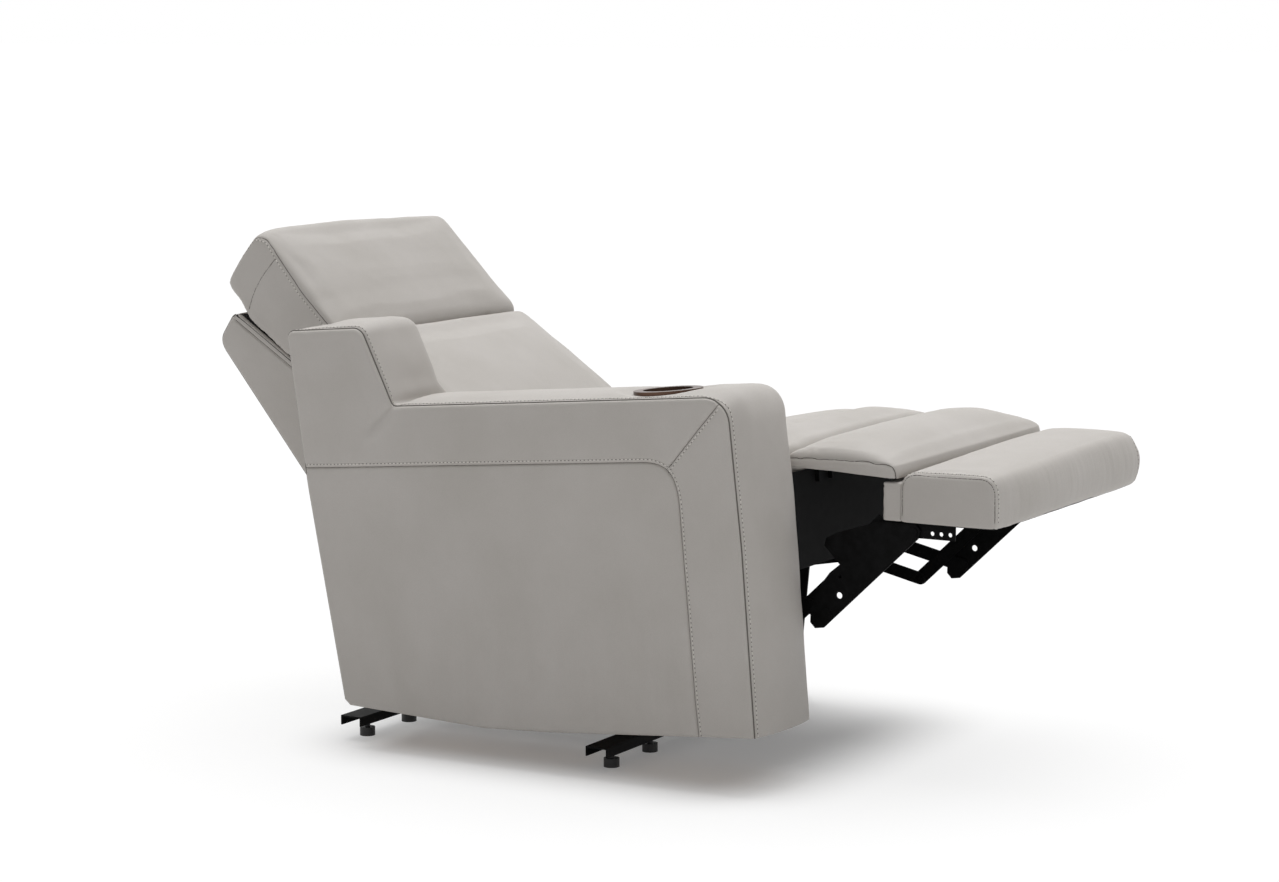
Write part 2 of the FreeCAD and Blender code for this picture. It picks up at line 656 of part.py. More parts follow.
name("outer_side_plates", group(outer_plate(0), outer_plate(1)))
name("inner_side_plates", group(inner_plate(0), inner_plate(1)))
rail_x = s.outer_plate_x + s.plate_thick
rail_wide = s.inner_plate_x - rail_x
name("seat_side_rails", group(*[
    box(CARRIAGE, (x, s.rail_front, s.rail_low), "inner_plate_x - outer_plate_x - plate_thick",
        "rail_rear - rail_front", "rail_high - rail_low")
    for x in both(rail_x, rail_wide)]))
between = s.inner_plate_x + s.plate_thick
front_back = s.front_board_face + s.front_board_thick
seat_boards = []
for x, y in ((s.inner_plate_x, front_back), (between, s.rail_rear - s.cross_board)):
    seat_boards.append(box(CARRIAGE, (x, y, s.rail_low), 2 * (seat_mid - x), "cross_board",
                           "rail_high - rail_low"))
name("seat_cross_boards", group(*seat_boards))
strap_step = (s.rail_rear - s.rail_front - s.strap_wide) / (s.strap_count - 1)
name("seat_webbing", group(*[
    box(CARRIAGE, (s.outer_plate_x, s.rail_front + i * strap_step, s.rail_high),
        2 * (seat_mid - s.outer_plate_x), "strap_wide", "strap_thick")
    for i in range(int(s.strap_count))]))
name("front_board", box(CARRIAGE, (seat_near + 4, s.front_board_face, s.front_board_low),
                        "seat_width - 8", "front_board_thick",
                        "front_board_high - front_board_low"))
cover_x = seat_far - s.cover_inset
name("far_side_cover", box(CARRIAGE, (cover_x, front_back + 1, s.cover_low), "cover_thick",
                           "rail_rear - front_board_face - front_board_thick - 1",
                           "rail_high - cover_low + strap_thick"))
connector = box(CARRIAGE, (cover_x + s.cover_thick, s.connector_reach, s.connector_low),
                "connector_thick", "connector_long", "connector_tall")
for y in (-1, 1):
    connector = cut(connector, rod(CARRIAGE, (
        cover_x + s.cover_thick - 1, s.connector_reach + (s.connector_long + y
                                                          * s.connector_pitch) / 2,
        s.connector_low + s.connector_tall / 2), "connector_hole", "connector_thick + 2"))
name("connector_plate", connector)
name("far_cover_cleats", group(*[
    box(CARRIAGE, (2 * seat_mid - s.outer_plate_x, y, s.rail_low), cover_x
        - 2 * seat_mid + s.outer_plate_x, "cross_board", "rail_high - rail_low")
    for y in (s.rail_front + 60, s.rail_rear - 140)]))
name("arm_brackets", group(*[
    box(CARRIAGE, (s.arm_width, y, s.rail_low), "outer_plate_x - arm_width", "cross_board",
        "rail_high - rail_low")
    for y in (s.rail_front + 110, s.rail_rear - 140)]))
seat_low = s.rail_high + s.strap_thick + s.soft_gap
seat_x = s.arm_width + s.seat_gap / 2
cushion_wide = seat_far - s.pad_inset - seat_x
seat_start = front_back + s.soft_gap
lip = s.front_board_high + 3
seat_edge = ((seat_start, seat_low, 4, 0), (seat_start, lip - 2, 2, 0),
             (s.seat_front + 5, lip, 2, 0), (s.seat_front + 5, s.seat_edge_high, 30, 3),
             (s.seat_seam_reach, s.seat_edge_high + 2, 4, 4),
             (s.seat_rear - 8, s.seat_edge_high - s.seat_fall / 2, 24, 0), (s.seat_rear - 4, seat_low, 6, 0))
seat_full = ((seat_start, seat_low, 4, 0), (seat_start, lip - 2, 2, 0),
             (s.seat_front, lip, 2, 0), (s.seat_front, s.seat_high, 40, 5),
             (s.seat_seam_reach, s.seat_high + 3, 6, s.seat_crown),
             (s.seat_rear, s.seat_high - s.seat_fall, 30, 0), (s.seat_rear, seat_low, 6, 0))
name("seat_cushion", soft_pad(CARRIAGE, seat_x, cushion_wide, seat_edge, seat_full))


# Arm
def arm_outline(inset, low=None):
    """The arm's side outline, drawn in by an inset, or open past its bottom."""
    bottom = [("arm_rear_low - " + inset, "arm_rear_rise"),
              ("arm_rear_low - 11 - " + inset, "arm_end_rise"),
              ("arm_curve_reach", "arm_curve_rise"), ("(arm_curve_reach + arm_flat) / 2 - 37",
                                                      "arm_curve_rise / 5"),
              ("arm_flat", "0")]
    if low is not None:
        bottom = [(f"arm_rear_low - 8 - {inset}", low)]
    start = [(inset, low or "0")]
    return start + [(inset, "arm_height - " + inset),
                    ("notch_reach + " + inset, "arm_height - " + inset),
                    ("wing_front + " + inset, "wing_height - " + inset),
                    ("arm_length - " + inset, "wing_height - " + inset)] + bottom


def arm_plate(x, thick_name, inset="0", low=None):
    corner = "arm_corner" if low is None else "band_corner"
    rounds = [(1, corner), (3, "wing_corner"), (4, f"wing_corner - {inset} / 2")]
    return outline_body(CARRIAGE, x, arm_outline(inset, low), thick_name, rounds)


name("arm_outer_panel", arm_plate(0, "panel_thick"))
name("arm_inner_panel", arm_plate(s.arm_width - s.panel_thick, "panel_thick"))
cup_spot = (s.arm_width / 2, s.cup_reach)
band = cut(arm_plate(s.panel_thick, "arm_width - 2 * panel_thick"),
           arm_plate(s.panel_thick - 1, "arm_width - 2 * panel_thick + 2", "band_thick", "-40"))
cup_low = s.arm_height - s.cup_depth
cup_outer = s.cup_bore + s.cup_wall
name("arm_top_pad", cut(band, post(CARRIAGE, (*cup_spot, cup_low),
                                   cup_outer + s.fit_gap, "cup_depth * 2")))
name("cup_holder", cut(
    fuse(post(CARRIAGE, (*cup_spot, cup_low), "cup_bore + cup_wall", "cup_depth"),
         post(CARRIAGE, (*cup_spot, s.arm_height), "cup_flange", "flange_thick")),
    post(CARRIAGE, (*cup_spot, cup_low + s.cup_wall), "cup_bore",
         "cup_depth + flange_thick")))
inset = s.band_thick
board_x = s.panel_thick
board_wide = "arm_width - 2 * panel_thick"
wall = s.board_wall
top_low = s.arm_height - inset - wall
rear_lean = math.degrees(math.atan2(s.arm_length - s.arm_rear_low,
                                    s.wing_height - s.arm_rear_rise))
front_post = box(CARRIAGE, (board_x, inset, 2), board_wide, "board_wall", top_low - 2)
top_rail = cut(box(CARRIAGE, (board_x, inset + s.band_corner, top_low), board_wide,
                   "notch_reach - band_thick - band_corner", "board_wall"),
               post(CARRIAGE, (*cup_spot, top_low - 5), cup_outer + s.fit_gap, wall + 10))
notch_post = box(CARRIAGE, (board_x, s.notch_reach - wall, s.low_rail + wall), board_wide,
                 "board_wall", top_low - s.low_rail - wall)
rear_start = s.arm_rear_low - inset - wall / math.cos(math.radians(rear_lean)) - 2
low_rail = box(CARRIAGE, (board_x, inset + wall, s.low_rail), board_wide,
               rear_start - inset - wall, "board_wall")
rear_post = box(at(CARRIAGE, 0, rear_start, s.low_rail + 2, -rear_lean), (board_x, 0.2, 0),
                board_wide, "board_wall", s.wing_height - s.low_rail - 60)
name("arm_frame", group(front_post, top_rail, notch_post, low_rail, rear_post))

# Control panel and buttons in the arm's inner face
panel_x = s.arm_width
panel = box(CARRIAGE, (panel_x, s.panel_reach - s.panel_margin,
                       s.panel_high - s.panel_tall / 2), "panel_plate",
            "3 * button_pitch + 2 * panel_margin", "panel_tall")
button_spots = [(s.panel_reach + i * s.button_pitch, s.panel_high) for i in range(4)]
holes = [rod(CARRIAGE, (panel_x - 1, *spot), s.button_radius + s.button_gap,
             s.panel_plate + 2) for spot in button_spots]
name("control_panel", cut(panel, *holes))
for label, spot in zip(("button_recline", "button_upright", "button_head_forward",
                        "button_head_back"), button_spots):
    name(label, rod(CARRIAGE, (panel_x + s.button_travel + 0.3, *spot), "button_radius",
                    "button_long"))


# Drives under the seat
def drive(label, side, reach):
    """A rail, its motor with a barrel towards the outside, and its slider."""
    x = seat_mid + side * s.drive_spread
    rail_y = s.rail_rear - s.motor_long
    front = front_back
    rail = box(CARRIAGE, (x - s.drive_rail_wide / 2, front, s.rail_low - s.drive_rail_tall),
               "drive_rail_wide", rail_y - front, "drive_rail_tall")
    name(label + "_drive_rail", rail)
    motor = box(CARRIAGE, (x - s.motor_wide / 2, rail_y, s.rail_low - s.motor_tall),
                "motor_wide", "motor_long", "motor_tall")
    barrel_x = s.motor_wide / 2 if side > 0 else -s.motor_wide / 2 - s.barrel_long
    barrel = rod(at(CARRIAGE, x, rail_y + s.motor_long / 2, s.rail_low - s.motor_tall / 2),
                 (barrel_x, 0, 0), "motor_tall / 2 - barrel_inset", "barrel_long")
    name(label + "_motor", fuse(motor, barrel))
    low = s.rail_low - s.drive_rail_tall - s.slider_tall
    block = box(CARRIAGE, (x - s.slider_wide / 2, reach, low), "slider_wide", "slider_long",
                s.slider_tall + s.drive_rail_tall - 4)
    track = box(CARRIAGE, (x - s.drive_rail_wide / 2 - s.slide_gap, reach - 1,
                           s.rail_low - s.drive_rail_tall - s.slide_gap),
                s.drive_rail_wide + 2 * s.slide_gap, "slider_long + 2", "drive_rail_tall")
    name(label + "_slider", cut(block, track))


drive("footrest", -1, s.slider_front)
drive("recline", 1, s.slider_front + s.slider_travel)
power_x = 2 * seat_mid - s.inner_plate_x - s.plate_thick - s.power_gap - s.power_wide
power_y = s.rail_rear - s.power_long
power_z = s.rail_low - s.power_tall
control = box(CARRIAGE, (power_x, power_y, power_z), "power_wide", "power_long", "power_tall")
inlet = post(CARRIAGE, (power_x + s.inlet_inset, power_y + s.power_long / 2, power_z - 1),
             "socket_radius", "inlet_deep + 1")
name("power_box", cut(control, inlet))


# Back, in its own frame: x across, y to the rear, z up the back
def back_outline(wall_text, open_ends):
    """The shell's wedge in side view, or its hollow, open at the front and bottom."""
    w = wall_text
    if open_ends:
        return [("-20", "shell_low - 40"), ("-20", f"shell_high - {w}"),
                (f"shell_top_deep - {w}", f"shell_high - {w}"),
                (f"shell_top_deep + shell_step - 2 - {w}", "shell_high - shell_drop - 2"),
                (f"shell_break_deep - {w}", "shell_break_high"),
                (f"shell_low_deep + 13 - {w}", "shell_low - 40")]
    return [("0", "20"), ("0", "shell_high"), ("shell_top_deep", "shell_high"),
            ("shell_top_deep + shell_step", "shell_high - shell_drop"),
            ("shell_break_deep", "shell_break_high"), ("shell_low_deep", "shell_low"),
            ("shell_low_deep - shell_foot_back", "shell_low")]


shell_x = seat_near
name("back_shell", cut(
    outline_body(BACK, shell_x, back_outline("shell_wall", False), "seat_width",
                 [(1, "6"), (2, "8")]),
    outline_body(BACK, shell_x + s.shell_wall, back_outline("shell_wall", True),
                 "seat_width - 2 * shell_wall")))
post_x = rail_x + s.bracket_gap + s.plate_thick
frame_top = s.shell_high - s.shell_wall
frame_low = s.back_frame_low
posts = [box(BACK, (x, s.strap_thick, frame_low), "back_post", "back_board",
             frame_top - frame_low) for x in both(post_x, s.back_post)]
inside = post_x + s.back_post
rails = [box(BACK, (inside, s.strap_thick, z), 2 * (seat_mid - inside), "back_board",
             "back_rail_tall")
         for z in (frame_low, s.head_pivot_high - s.head_rail_below,
                   frame_top - s.back_rail_tall)]
name("back_frame", group(*posts, *rails))
name("back_brackets", group(*[fuse(
    cut(box(BACK, (x, -s.back_bracket_front, -s.back_bracket_below), "plate_thick",
            "back_bracket_wide", "back_bracket_up"),
        box(BACK, (x - 1, -s.back_bracket_front - 1, 18), s.plate_thick + 2,
            s.strap_thick + s.back_bracket_front + 1.5, "back_bracket_up")),
    rod(BACK, (pin_x, 0, 0), "pin_radius", pin_long))
    for x, pin_x, pin_long in [
        (both(rail_x + s.bracket_gap, s.plate_thick)[side],
         both(s.outer_plate_x, post_x - s.outer_plate_x)[side],
         post_x - s.outer_plate_x) for side in (0, 1)]]))
strap_rise = (s.head_pivot_high - 90 - frame_low) / 4
name("back_webbing", group(*[
    box(BACK, (post_x, 0, frame_low + i * strap_rise), 2 * (seat_mid - post_x), "strap_thick",
        "strap_wide") for i in range(5)]))
upper_low = s.cushion_high + s.upper_gap
name("back_upper_panel", box(BACK, (shell_x, -s.strap_thick, upper_low), "seat_width",
                             "strap_thick", s.shell_high - s.upper_gap - upper_low))
back_edge = ((-s.soft_gap, s.cushion_low, 4, 0), (-s.cushion_deep + 5, s.cushion_low, 28, 2),
             (-s.cushion_deep, s.cushion_high - 3, 14, 0),
             (-s.soft_gap, s.cushion_high - 3, 4, 0))
back_full = ((-s.soft_gap, s.cushion_low, 4, 0),
             (-s.cushion_deep - 8, s.cushion_low, 44, s.back_crown),
             (-s.cushion_deep - 10, s.cushion_high, 18, 0),
             (-s.soft_gap, s.cushion_high, 4, 0))
name("back_cushion", soft_pad(BACK, pad_near, pad_width, back_edge, back_full))

# Headrest, tilting about a tube near its bottom
hinge_y = -s.head_pivot_deep
hinge_z = s.head_pivot_high
low = s.head_round


def head_corners(shrink, crown):
    return ((hinge_y + low, hinge_z - 4, 18, 0),
            (hinge_y + 18, hinge_z - low + 2, 18, 0),
            (hinge_y - 16, hinge_z - low + 2, 16, 0),
            (-s.head_low_deep + shrink, hinge_z - 26, 10, crown),
            (-s.head_top_deep + shrink, s.head_high - 9 - shrink, 30, 2),
            (-s.head_top_rear, s.head_high - shrink, 14, 0),
            (-s.head_rear - 5, s.head_high - 60, 8, 0),
            (-s.head_rear, hinge_z + 40, 8, 0))


head_body = soft_pad(BACK, pad_near, pad_width, head_corners(5, 0), head_corners(-4, 10))
bracket_spots = both(seat_near + s.head_bracket_x, s.head_bracket_thick)
tube_x = seat_near + s.head_bracket_x - 30
tube_long = 2 * (seat_mid - tube_x)
slot_side = 2.0
slots = [box(BACK, (x - slot_side, hinge_y - 14, hinge_z - low - 10),
             s.head_bracket_thick + 2 * slot_side, s.head_pivot_deep + 14,
             low + 24) for x in bracket_spots]
slots.append(rod(BACK, (tube_x, hinge_y, hinge_z), "head_tube_radius", tube_long))
name("headrest_cushion", cut(head_body, *slots))
name("headrest_tube", rod(BACK, (tube_x, hinge_y, hinge_z), "head_tube_radius", tube_long))
name("headrest_brackets", group(*[
    cut(fuse(box(BACK, (x, hinge_y, hinge_z - 11), "head_bracket_thick",
                 "head_pivot_deep - strap_thick", 22),
             rod(BACK, (x, hinge_y, hinge_z), "11", "head_bracket_thick")),
        rod(BACK, (x - 1, hinge_y, hinge_z), s.head_tube_radius + s.running_gap,
            "head_bracket_thick + 2"))
    for x in bracket_spots]))
head_motor_y = s.strap_thick + s.back_board
name("headrest_motor", fuse(
    box(BACK, (seat_mid - s.head_motor_wide / 2, head_motor_y, s.head_motor_low),
        "head_motor_wide", "head_motor_deep", "head_motor_tall"),
    box(BACK, (seat_mid - s.head_rod_wide / 2, head_motor_y,
               s.head_motor_low + s.head_motor_tall), "head_rod_wide", "head_rod_deep",
        frame_top - s.head_motor_low - s.head_motor_tall)))
head_slider_low = s.head_motor_low + s.head_slider_rise
name("headrest_slider", cut(
    box(BACK, (seat_mid - s.head_slider_wide / 2, head_motor_y + 1, head_slider_low),
        "head_slider_wide", "head_slider_deep", "head_slider_tall"),
    box(BACK, (seat_mid - s.head_rod_wide / 2 - s.slide_gap, head_motor_y - 5,
               head_slider_low - 10), "head_rod_wide + 2 * slide_gap",
        s.head_rod_deep + 5 + s.slide_gap, "head_slider_tall + 24")))

doc.recompute()
for obj in doc.Objects:
    if "Invalid" in obj.State or "Error" in obj.State:
        raise RuntimeError(f"{obj.Name} {obj.Label} failed: {obj.State}")
os.makedirs("parts", exist_ok=True)
for label, obj in parts.items():
    if obj.Shape.isNull() or not obj.Shape.isValid() or not obj.Shape.Solids:
        raise RuntimeError(f"{label} has no valid solid")
    obj.Shape.exportStep(f"parts/{label}.step")
whole = FreeCAD.BoundBox()
for obj in parts.values():
    whole.add(obj.Shape.BoundBox)
print(len(parts), "nodes, bounds", [round(v, 2) for v in (
    whole.XMin, whole.YMin, whole.ZMin, whole.XMax, whole.YMax, whole.ZMax)])
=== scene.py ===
import json
import math

import bmesh
import bpy
import numpy as np
from mathutils import Matrix, Vector, kdtree
from mathutils.bvhtree import BVHTree
from mathutils.geometry import delaunay_2d_cdt


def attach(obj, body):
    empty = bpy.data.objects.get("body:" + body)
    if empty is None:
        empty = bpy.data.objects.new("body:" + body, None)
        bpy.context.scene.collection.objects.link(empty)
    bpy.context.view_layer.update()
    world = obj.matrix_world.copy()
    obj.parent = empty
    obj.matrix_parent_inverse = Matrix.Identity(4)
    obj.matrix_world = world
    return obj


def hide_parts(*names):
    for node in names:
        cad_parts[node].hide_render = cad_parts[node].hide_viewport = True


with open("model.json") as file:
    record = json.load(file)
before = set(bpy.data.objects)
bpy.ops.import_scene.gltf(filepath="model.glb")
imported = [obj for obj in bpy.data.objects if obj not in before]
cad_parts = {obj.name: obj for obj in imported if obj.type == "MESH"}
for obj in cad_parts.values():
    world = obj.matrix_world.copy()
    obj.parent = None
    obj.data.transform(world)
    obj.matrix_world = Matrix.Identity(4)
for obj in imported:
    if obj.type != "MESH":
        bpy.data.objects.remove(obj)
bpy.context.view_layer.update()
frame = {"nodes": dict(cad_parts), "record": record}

scene = bpy.context.scene

# Power recliner with one arm. Local coordinates are millimetres: x across from
# the arm's outer face, y to the rear and z up, in one of these three frames.
MM = Matrix.Scale(0.001, 4)
CORNER = Matrix.Translation((-0.431, -0.4694, 0.110))
LEVEL = CORNER @ MM
CARRIAGE = CORNER @ Matrix.Rotation(math.radians(-4.7), 4, "X") @ MM
BACK = CARRIAGE @ Matrix.Translation((0, 640, 331)) @ Matrix.Rotation(
    math.radians(-52.3), 4, "X")


def to_world(matrix, points):
    m = np.array(matrix)
    return np.asarray(points, float) @ m[:3, :3].T + m[:3, 3]


def to_local(matrix, points):
    return to_world(matrix.inverted(), points)


def at_x(x, line):
    """A line in side view, set at one x."""
    return np.column_stack([np.full(len(line), float(x)), line])


def smooth(a, b, v):
    """0 below a, 1 above b and a soft step between."""
    t = np.clip((np.asarray(v, float) - a) / (b - a), 0, 1)
    return t * t * (3 - 2 * t)


def bell(v, width):
    return np.exp(-(np.asarray(v, float) / width) ** 2)


def waves(seed, *axes):
    """Smooth seeded noise of about -1 to 1 from coordinates already divided by its scale."""
    rng = np.random.default_rng(seed)
    total = np.zeros_like(np.asarray(axes[0], float))
    for _ in range(9):
        turn = rng.normal(size=len(axes))
        turn /= np.linalg.norm(turn)
        rate = rng.uniform(0.6, 1.9)
        phase = rng.uniform(0, 2 * math.pi)
        total += np.sin(rate * sum(t * a for t, a in zip(turn, axes)) * 2 * math.pi + phase)
    return total / 4.5


# materials
def srgb(r, g, b):
    def one(c):
        c /= 255
        return c / 12.92 if c <= 0.04045 else ((c + 0.055) / 1.055) ** 2.4
    return (one(r), one(g), one(b), 1.0)


class Nodes:
    """Short calls for building one material."""

    def __init__(self, name):
        self.material = bpy.data.materials.new(name)
        self.material.use_nodes = True
        self.tree = self.material.node_tree
        self.shader = self.tree.nodes["Principled BSDF"]
        coords = self.tree.nodes.new("ShaderNodeTexCoord")
        self.place = coords.outputs["Object"]

    def add(self, kind, **inputs):
        """A node with settings and inputs, with _ for each space in an input's name."""
        node = self.tree.nodes.new("ShaderNode" + kind)
        for key, value in inputs.items():
            socket = node.inputs.get(key.replace("_", " "))
            if socket is None:
                setattr(node, key, value)
            elif isinstance(value, bpy.types.NodeSocket):
                self.tree.links.new(value, socket)
            else:
                socket.default_value = value
        return node

    def link(self, a, b):
        self.tree.links.new(a, b)

    def noise(self, scale, detail=3.0, rough=0.5, source=None):
        return self.add("TexNoise", Vector=source or self.place, Scale=scale,
                        Detail=detail, Roughness=rough).outputs["Fac"]

    def ramp(self, factor, *stops):
        node = self.add("ValToRGB", Fac=factor)
        band = node.color_ramp
        while len(band.elements) < len(stops):
            band.elements.new(0.5)
        for element, (spot, colour) in zip(band.elements, stops):
            element.position = spot
            element.color = colour
        return node.outputs["Color"]

    def two(self, kind, operation, a, b):
        """A maths node of two inputs, each a socket or a constant."""
        node = self.add(kind, operation=operation)
        for value, socket in zip((a, b), node.inputs):
            if isinstance(value, bpy.types.NodeSocket):
                self.link(value, socket)
            else:
                socket.default_value = value
        return node.outputs[0]

    def tones(self, factor, tone, lift, low=0.35, high=0.7):
        """Colours the surface from a tone to one that is lighter by lift."""
        light = (c + d for c, d in zip(tone, lift))
        self.colour(self.ramp(factor, (low, srgb(*tone)), (high, srgb(*light))))

    def colour(self, socket):
        self.link(socket, self.shader.inputs["Base Color"])

    def matte(self, factor, low, high):
        """Varies the roughness between two values."""
        self.link(self.scaled(factor, low, high), self.shader.inputs["Roughness"])

    def fixed(self, **constants):
        """Constants on the shader, with _ for each space in a socket's name."""
        for key, value in constants.items():
            self.shader.inputs[key.replace("_", " ")].default_value = value

    def scaled(self, factor, low, high):
        return self.add("MapRange", Value=factor, To_Min=low, To_Max=high).outputs["Result"]

    def bumps(self, *layers):
        """Layers are (height socket, distance in metres, strength)."""
        normal = None
        for height, distance, strength in layers:
            node = self.add("Bump", Height=height, Distance=distance,
                            Strength=strength)
            if normal is not None:
                self.link(normal, node.inputs["Normal"])
            normal = node.outputs["Normal"]
        self.link(normal, self.shader.inputs["Normal"])


def leather_material(name, tone):
    """Matte top grain leather with a fine pebble, soft tonal clouds and faint creases."""
    n = Nodes(name)
    r, g, b = tone
    clouds = n.noise(5.5, 4, 0.55)
    base = n.ramp(clouds, (0.3, srgb(r - 5, g - 5, b - 6)), (0.72, srgb(r + 4, g + 4, b + 4)))
    grain = n.add("TexVoronoi", Vector=n.place, Scale=820.0,
                  feature="DISTANCE_TO_EDGE").outputs["Distance"]
    pebble = n.ramp(grain, (0.0, (0, 0, 0, 1)), (0.28, (1, 1, 1, 1)))
    dark = n.add("Mix", data_type="RGBA", blend_type="MULTIPLY")
    dark.inputs["Factor"].default_value = 0.10
    n.link(base, dark.inputs["A"])
    n.link(pebble, dark.inputs["B"])
    n.colour(dark.outputs["Result"])
    n.matte(n.noise(38, 3, 0.6), 0.50, 0.66)
    n.fixed(Specular_IOR_Level=0.42, Sheen_Weight=0.06, Sheen_Roughness=0.45)
    creases = n.noise(150, 4, 0.62)
    n.bumps((n.noise(14, 2, 0.5), 0.0012, 0.35), (creases, 0.0004, 0.30),
            (pebble, 0.00012, 0.40))
    return n.material


def steel_material(name, tone, rough, **constants):
    """Painted or bare steel with small pits and worn spots."""
    n = Nodes(name)
    spots = n.noise(60, 5, 0.65)
    n.tones(spots, tone, (16, 16, 17), high=0.8)
    n.fixed(**constants)
    n.matte(n.noise(24, 4, 0.6), rough - 0.08, rough + 0.10)
    n.bumps((n.noise(420, 3, 0.6), 0.00015, 0.35), (spots, 0.0003, 0.2))
    return n.material


def wood_material(name):
    n = Nodes(name)
    stretch = n.add("Mapping", Vector=n.place, Scale=(3.0, 34.0, 34.0))
    grain = n.noise(2.6, 6, 0.62, stretch.outputs["Vector"])
    fine = n.noise(22, 4, 0.7, stretch.outputs["Vector"])
    colour = n.ramp(grain, (0.3, srgb(150, 112, 70)), (0.52, srgb(196, 158, 108)),
                    (0.75, srgb(214, 182, 134)))
    n.colour(colour)
    n.matte(fine, 0.55, 0.8)
    n.bumps((fine, 0.0004, 0.5))
    return n.material


def cloth_material(name, tone, lift):
    """Woven dust cloth: two crossing wave bands make the threads."""
    n = Nodes(name)
    bands = [n.add("TexWave", Vector=n.place, Scale=330.0, Distortion=0.6,
                   bands_direction=way).outputs["Fac"] for way in "XZ"]
    weave = n.two("Math", "MULTIPLY", *bands)
    clouds = n.noise(9, 4, 0.6)
    n.tones(clouds, tone, (lift, lift, lift), low=0.3, high=0.75)
    n.matte(n.noise(60, 3, 0.5), 0.82, 0.95)
    n.fixed(Specular_IOR_Level=0.2)
    n.bumps((clouds, 0.003, 0.35), (weave, 0.0003, 0.6))
    return n.material


def plastic_material(name, tone, rough):
    n = Nodes(name)
    n.tones(n.noise(30, 3, 0.5), tone, (7, 7, 7))
    n.matte(n.noise(80, 2, 0.5), rough - 0.05, rough + 0.06)
    n.bumps((n.noise(900, 2, 0.5), 0.00012, 0.5))
    return n.material


def cup_material(name):
    """Dark bronze spun metal, its fine rings left by the polishing."""
    n = Nodes(name)
    rings = n.noise(240, 2, 0.4)
    n.tones(n.noise(12, 3, 0.5), (74, 56, 47), (34, 28, 24), low=0.3, high=0.75)
    n.fixed(Metallic=0.85)
    n.matte(rings, 0.26, 0.40)
    n.bumps((rings, 0.0001, 0.25))
    return n.material


LEATHER = leather_material("leather_grey", (199, 194, 189))
# Dark leather of the welts: painted shade of the seam grooves they lie in
WELT_PAINTED_SHADE = leather_material("leather_welt", (108, 104, 99))
# Dark tone of the seam lines and stitch holes: painted shade of the seam grooves
SEAM = plastic_material("seam_thread", (98, 93, 88), 0.8)
THREAD = plastic_material("thread_grey", (222, 218, 212), 0.75)
BLACK_STEEL = steel_material("black_enamel", (6, 6, 6), 0.6, Specular_IOR_Level=0.08)
STEEL = steel_material("zinc_steel", (120, 120, 122), 0.35, Metallic=0.9)
WOOD = wood_material("pine_frame")
BLACK_CLOTH = cloth_material("black_dust_cloth", (10, 10, 11), 5)
WEBBING = cloth_material("black_webbing", (30, 30, 31), 12)
PLASTIC = plastic_material("black_plastic", (24, 24, 25), 0.5)
CUP = cup_material("bronze_cup")

FINISH = {"leather": LEATHER, "black_steel": BLACK_STEEL, "wood": WOOD,
          "black_cloth": BLACK_CLOTH, "black_plastic": PLASTIC, "cup_metal": CUP,
          "steel": STEEL}


# mesh helpers
def placed(name, data):
    """A new object in the scene."""
    obj = bpy.data.objects.new(name, data)
    scene.collection.objects.link(obj)
    return obj


def make(name, points, faces, material, body, sharp=50):
    """A mesh piece that rides on a body. Points are world metres."""
    mesh = bpy.data.meshes.new(name)
    mesh.from_pydata([tuple(p) for p in points], [], [tuple(map(int, f)) for f in faces])
    mesh.validate()
    bm = bmesh.new()
    bm.from_mesh(mesh)
    bmesh.ops.recalc_face_normals(bm, faces=bm.faces)
    bm.to_mesh(mesh)
    bm.free()
    mesh.materials.append(material)
    mesh.shade_smooth()
    if sharp:
        mesh.set_sharp_from_angle(angle=math.radians(sharp))
    obj = placed(name, mesh)
    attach(obj, body)
    return obj


def resample(points, step):
    """A polyline with points about a step apart that keeps its corners."""
    points = np.asarray(points, float)
    out = []
    for a, b in zip(points[:-1], points[1:]):
        n = max(1, int(round(np.linalg.norm(b - a) / step)))
        out.extend(a + (b - a) * i / n for i in range(n))
    return np.array(out + [points[-1]])


def rounded(points, radii, arcs=9):
    """The outline with the numbered corners turned into arcs."""
    points = [np.array(p, float) for p in points]
    total = len(points)
    out = []
    for i, p in enumerate(points):
        radius = radii.get(i, 0)
        if not radius:
            out.append(p)
            continue
        a = points[i - 1] - p
        b = points[(i + 1) % total] - p
        a /= np.linalg.norm(a)
        b /= np.linalg.norm(b)
        half = math.acos(np.clip(a @ b, -1, 1)) / 2
        reach = radius / math.tan(half)
        centre = p + (a + b) / np.linalg.norm(a + b) * radius / math.sin(half)
        start, end = p + a * reach - centre, p + b * reach - centre
        first = math.atan2(start[1], start[0])
        turn = (math.atan2(end[1], end[0]) - first + math.pi) % (2 * math.pi) - math.pi
        for k in range(arcs + 1):
            angle = first + turn * k / arcs
            out.append(centre + radius * np.array([math.cos(angle), math.sin(angle)]))
    return np.array(out)


def bezier(*controls, steps=14):
    """A smooth curve from its control points."""
    pts = np.array(controls, float)
    out = []
    for i in range(steps + 1):
        row = pts.copy()
        t = i / steps
        while len(row) > 1:
            row = row[:-1] * (1 - t) + row[1:] * t
        out.append(row[0])
    return np.array(out)


def line_distance(points, line):
    """The distance of each point from a polyline, in any number of dimensions."""
    line = np.asarray(line, float)
    best = np.full(len(points), 1e9)
    for a, b in zip(line[:-1], line[1:]):
        d = b - a
        t = np.clip(((points - a) @ d) / max(d @ d, 1e-12), 0, 1)
        best = np.minimum(best, np.linalg.norm(points - a - t[:, None] * d, axis=1))
    return best


def nearest(line, spot):
    """The number of the point that is nearest to a spot."""
    return int(np.argmin(((line - spot) ** 2).sum(axis=1)))


